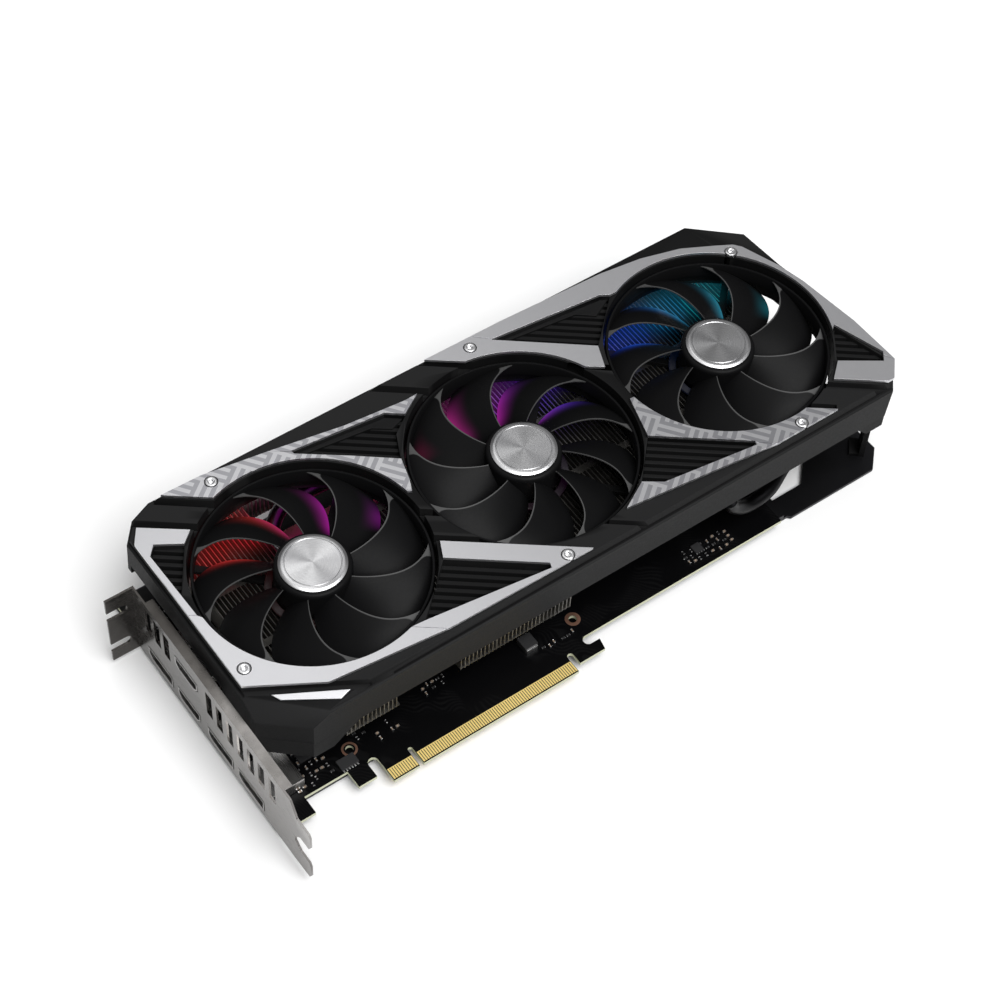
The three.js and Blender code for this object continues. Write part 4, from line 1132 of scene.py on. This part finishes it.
# ---------------------------------------------------------------- board dressing
def component_row(places, size, bodies, ends):
    """Small two-ended parts: a ceramic or epoxy body between two tinned ends."""
    w, d, h = size
    for x, y, quarter in places:
        a, b = (w, d) if not quarter else (d, w)
        block(bodies, x - a * 0.3, x + a * 0.3, y - b / 2 if not quarter else y - b * 0.3,
              y + b / 2 if not quarter else y + b * 0.3, 0.05, h)
        for sign in (-1, 1):
            if quarter:
                block(ends, x - a / 2, x + a / 2, y + sign * b * 0.4 - b * 0.1, y + sign * b * 0.4 + b * 0.1, 0.05, h + 0.04)
            else:
                block(ends, x + sign * a * 0.4 - a * 0.1, x + sign * a * 0.4 + a * 0.1, y - b / 2, y + b / 2, 0.05, h + 0.04)


def board_dressing():
    ceramic, tin, dark = bmesh.new(), bmesh.new(), bmesh.new()
    small = []
    for x0, x1, y0, y1, count in (
        (-48, -28, 14.5, 44, 60),
        (-14, 2, 17.5, 27, 9),
        (18, 28, 23.5, 27, 14),
        (66, 82, 15.2, 16.6, 7),
        (138, 160, 14.2, 21, 26),
        (-50, -27, 100, 118, 20),
        (96, 176, 96, 112, 40),
    ):
        taken = []
        tries = 0
        while len(taken) < count and tries < 900:
            tries += 1
            x, y = round(random.uniform(x0, x1) / 0.8) * 0.8, round(random.uniform(y0, y1) / 0.8) * 0.8
            if all(abs(x - a) > 1.9 or abs(y - b) > 1.9 for a, b in taken):
                taken.append((x, y))
        small += [(x, y, random.random() < 0.5) for x, y in taken]
    component_row(small[::2], (1.6, 0.8, 0.75), ceramic, tin)
    component_row(small[1::2], (1.6, 0.8, 0.45), dark, tin)
    # inductor with two tinned feet, and two driver chips
    block(dark, 59.8, 65.6, 17.6, 23.4, 0.1, 3.0)
    for y in (17.0, 23.2):
        block(tin, 60.2, 65.2, y, y + 0.9, 0.05, 2.2)
    for x, y, w, d in ((-37, 25, 6, 6), (-44, 37, 5, 5), (143, 17.5, 4, 4), (-26, 13.6, 7.5, 4.6)):
        block(dark, x, x + w, y, y + d, 0.05, 1.1)
    for k in range(6):
        block(tin, -26 + 0.4 + k * 1.2, -26 + 1.0 + k * 1.2, 12.9, 13.7, 0.05, 0.3)
    for name, bm, material, slot in (
        ("ceramic_parts", ceramic, CERAMIC, "choke"),
        ("tinned_ends", tin, TIN, "socket_shell"),
        ("dark_parts", dark, CHIP, "chip"),
    ):
        made = mesh_object(name, bm, material, smooth=None)
        bevel(made, 0.08, 1)
        finish_piece(made, "card")
    # bare copper rings round the two fixing holes
    bm = bmesh.new()
    for x, y, inner in ((-18.5, 20.2, 2.2), (84.3, 20.3, 1.65)):
        ring = [(inner, 0.02), (3.1, 0.02), (3.1, 0.1), (inner, 0.1)]
        lathe(bm, ring, x, y, 64, closed=True)
        ring = [(1.65, -1.67), (3.1, -1.67), (3.1, -1.59), (1.65, -1.59)]
        lathe(bm, ring, x, y, 64, closed=True)
    made = mesh_object("copper_rings", bm, COPPER, 35)
    finish_piece(made, "card")


# ---------------------------------------------------------------- back of the card
def backplate():
    lo, hi = cad("backplate")
    outline = [
        (-56.5, 14), (188, 14), (189.2, 12.8), (232.8, 12.8),
        (240.8, 20.8), (240.8, 118), (230.8, 128), (-56.5, 128),
    ]
    made = prism_tool(outline, lo.z, lo.z + 1.4)
    made.name = "back_cover"
    window = [(188, 23.5), (203, 23.5), (228, 48.5), (228, 104), (220, 112), (188, 112)]
    cuts = [prism_tool(window, -10, 0)]
    for k in range(7):
        x = 100 + k * 11
        cuts.append(prism_tool([(x, 96), (x + 5, 96), (x + 13, 106), (x + 8, 106)], -10, 0))
    boolean(made, cuts)
    grooves = []
    for start, end, width in (
        ((-52, 30), (30, 92), 1.2),
        ((30, 92), (180, 92), 1.2),
        ((-20, 20), (60, 80), 1.2),
        ((60, 80), (184, 80), 1.2),
        ((184, 20), (184, 122), 1.0),
    ):
        bm = bmesh.new()
        beam(bm, start, end, width, lo.z - 1, lo.z + 0.45)
        grooves.append(mesh_object("tool", bm, smooth=None))
    boolean(made, grooves)
    folds = bmesh.new()
    block(folds, -40, 186, 14, 15.2, lo.z + 1, -2.2)
    block(folds, -40, 222, 126.8, 128, lo.z + 1, -2.2)
    boolean(made, [mesh_object("tool", folds, smooth=None)], "UNION")
    clean(made, 30.0)
    made.data.materials.clear()
    made.data.materials.append(BACK_BLACK)
    bevel(made, 0.3, 2, 30.0)
    finish_piece(made, "card", ["backplate"])
    bm = bmesh.new()
    for x, y in ((150, 90), (-48, 120), (60, 120), (176, 120), (5, 45), (57, 45), (5, 97), (57, 97)):
        head = [(0, lo.z + 0.5), (0.9, lo.z + 0.45), (1.0, lo.z + 0.1), (2.6, lo.z + 0.02), (2.9, lo.z + 0.35), (2.9, lo.z + 1.3), (1.5, lo.z + 1.35), (1.5, -1.7), (0, -1.7)]
        lathe(bm, head, x, y, 36)
    made = mesh_object("back_screws", bm, SCREW, 35)
    finish_piece(made, "card")


def tail_post(node):
    """Post that holds the backplate off the shroud in the near tail corner."""
    lo, hi = cad(node)
    bm = bmesh.new()
    beam(bm, (232.8, 20.4), (238.2, 26.6), 2.2, lo.z, hi.z)
    made = mesh_object("corner_post", bm, BLACK, smooth=None)
    pad = bmesh.new()
    beam(pad, (230.9, 22.1), (236.3, 28.3), 5, lo.z, lo.z + 1.6)
    boolean(made, [mesh_object("tool", pad, smooth=None)], "UNION")
    clean(made, 30.0)
    bevel(made, 0.4, 2)
    finish_piece(made, "card", [node])


def power_socket(node, columns):
    """Keyed nylon housing with a square chamber round each brass pin."""
    lo, hi = cad(node)
    made = prism_tool([(lo.x, lo.y), (hi.x, lo.y), (hi.x, hi.y), (lo.x, hi.y)], lo.z, hi.z)
    made.name = node.replace("power_socket", "power_inlet")
    cuts = []
    pins = bmesh.new()
    for i in range(columns):
        x = lo.x + 0.7 + (i + 0.5) * 4.2
        for z in (3.1, 7.5):
            cuts.append(prism_tool([(x - 1.7, hi.y - 9), (x + 1.7, hi.y - 9), (x + 1.7, hi.y + 1), (x - 1.7, hi.y + 1)], z - 1.7, z + 1.7))
            block(pins, x - 0.55, x + 0.55, hi.y - 9.5, hi.y - 1.5, z - 0.55, z + 0.55)
    boolean(made, cuts)
    clean(made, 30.0)
    made.data.materials.clear()
    made.data.materials.append(SOCKET_BLACK)
    bevel(made, 0.25, 2)
    finish_piece(made, "card", [node])
    metal_pins = mesh_object(made.name + "_pins", pins, GOLD, smooth=None)
    bevel(metal_pins, 0.2, 2)
    finish_piece(metal_pins, "card")


def rear_contacts():
    """Gold fingers on the back of the edge connector."""
    for node, count in (("contacts_rear_short", 11), ("contacts_rear_long", 71)):
        lo, hi = cad(node)
        bm = bmesh.new()
        for k in range(count):
            block(bm, lo.x + k, lo.x + k + 0.7, lo.y, hi.y - 0.3, lo.z, hi.z)
        block(bm, lo.x, hi.x, hi.y - 0.3, hi.y, lo.z + 0.01, hi.z)
        made = mesh_object(node.replace("contacts", "fingers"), bm, GOLD, smooth=None)
        finish_piece(made, "card", [node])


def paint_cad_nodes():
    """CAD pieces whose shape is already right only get their finish."""
    finishes = {
        "circuit_board": BOARD,
        "contacts_front_short": GOLD,
        "contacts_front_long": GOLD,
        "cold_plate": COPPER,
        "gpu_package": CHIP,
        "gpu_die": SHELL,
        "switch_housing": SHELL,
        "switch_slider": SLIDER,
        **{f"memory_chip_{i}": CHIP for i in range(1, 5)},
        **{f"power_choke_{i}": CHIP for i in range(1, 4)},
    }
    for node, material in finishes.items():
        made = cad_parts[node]
        made.data.materials.clear()
        made.data.materials.append(material)


shroud()
pocket_ribs()
accent_plates()
corner_badge()
shroud_screws()
for number, (centre, spin) in enumerate(zip(FANS, SPIN), start=1):
    rotor(number, centre, spin)
    hub_cap(number, centre)
    fan_motor(number, centre)
    light_ring(number, centre)
fin_stack("fins_front", "fin_stack_front", front_reach)
fin_stack("fins_rear", "fin_stack_rear", rear_reach)
heat_pipes()
io_bracket()
sockets()
board_dressing()
backplate()
tail_post("tail_post" if "tail_post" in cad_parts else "tail_wall")
power_socket("power_socket_8pin", 4)
power_socket("power_socket_6pin", 3)
rear_contacts()
paint_cad_nodes()


# ---------------------------------------------------------------- stage, light, camera
def floor():
    bm = bmesh.new()
    bmesh.ops.create_grid(bm, x_segments=2, y_segments=2, size=6.0)
    mesh = bpy.data.meshes.new("floor")
    bm.to_mesh(mesh)
    bm.free()
    made = bpy.data.objects.new("floor", mesh)
    made.location = (0, 0, -0.0005)
    bpy.context.scene.collection.objects.link(made)
    n = Nodes("floor_paper")
    n.set(Base_Color=(0.93, 0.93, 0.93), Roughness=0.9)
    mesh.materials.append(n.material)


def soft_box(name, place, size, radiance):
    """Rectangular soft box that faces straight down. radiance is what a mirror would see in it."""
    lamp = bpy.data.lights.new(name, "AREA")
    lamp.shape = "RECTANGLE"
    lamp.size, lamp.size_y = size
    lamp.energy = radiance * math.pi * size[0] * size[1]
    made = bpy.data.objects.new(name, lamp)
    made.location = place
    bpy.context.scene.collection.objects.link(made)


def glow_lamp(name, x, y, color, power):
    """Small downward lamp between the blades and the fins."""
    lamp = bpy.data.lights.new(name, "AREA")
    lamp.shape = "DISK"
    lamp.size = 0.018
    lamp.energy = power
    lamp.color = color
    made = bpy.data.objects.new(name, lamp)
    made.location = at(x, y, 31.3)
    bpy.context.scene.collection.objects.link(made)


def sun(name, direction, strength, angle):
    lamp = bpy.data.lights.new(name, "SUN")
    lamp.energy = strength
    lamp.angle = math.radians(angle)
    made = bpy.data.objects.new(name, lamp)
    made.rotation_euler = Vector(direction).to_track_quat("-Z", "Y").to_euler()
    bpy.context.scene.collection.objects.link(made)


GLOW_LAMPS = [
    (-24, 110, (1.0, 0.01, 0.02)),
    (-6, 112, (1.0, 0.02, 0.06)),
    (16, 108, (0.8, 0.02, 0.6)),
    (34, 106, (0.7, 0.02, 0.7)),
    (66, 104, (0.9, 0.02, 0.25)),
    (84, 108, (0.95, 0.02, 0.5)),
    (108, 108, (0.4, 0.03, 0.95)),
    (126, 104, (0.15, 0.04, 1.0)),
    (160, 104, (0.02, 0.04, 1.0)),
    (176, 108, (0.02, 0.10, 1.0)),
    (196, 110, (0.01, 0.40, 0.95)),
    (214, 106, (0.01, 0.70, 0.85)),
]


def studio():
    world = bpy.data.worlds.new("studio")
    world.use_nodes = True
    background = world.node_tree.nodes["Background"]
    background.inputs[0].default_value = (1.0, 1.0, 1.0, 1.0)
    background.inputs[1].default_value = 0.20
    bpy.context.scene.world = world
    sun("key", (-0.05, 0.6, -1.1), 3.1, 48)
    soft_box("overhead", (-0.05, 0.25, 1.1), (1.1, 1.3), 0.62)
    soft_box("sheen", (0.16, 0.54, 1.09), (0.30, 0.30), 1.1)
    for i, (x, y, color) in enumerate(GLOW_LAMPS):
        glow_lamp(f"glow_{i + 1}", x, y, color, 0.0010)


def camera():
    """The photograph's viewing angle: steep, from the near left, slightly rolled."""
    azimuth, elevation, roll = (math.radians(a) for a in (-39.29, 53.16, 4.45))
    back = Vector((math.sin(azimuth) * math.cos(elevation), -math.cos(azimuth) * math.cos(elevation), math.sin(elevation)))
    right = Vector((math.cos(azimuth), math.sin(azimuth), 0))
    up = back.cross(right)
    side = right * math.cos(roll) + up * math.sin(roll)
    high = up * math.cos(roll) - right * math.sin(roll)
    lens = bpy.data.cameras.new("camera")
    lens.sensor_width = 36.0
    lens.lens = 83.19
    lens.clip_start, lens.clip_end = 0.05, 20.0
    made = bpy.data.objects.new("camera", lens)
    made.matrix_world = Matrix.Translation(at(-255.5, -345.4, 737.6)) @ Matrix((side, high, back)).transposed().to_4x4()
    bpy.context.scene.collection.objects.link(made)
    bpy.context.scene.camera = made


floor()
studio()
camera()
bpy.context.scene.view_settings.view_transform = "Standard"
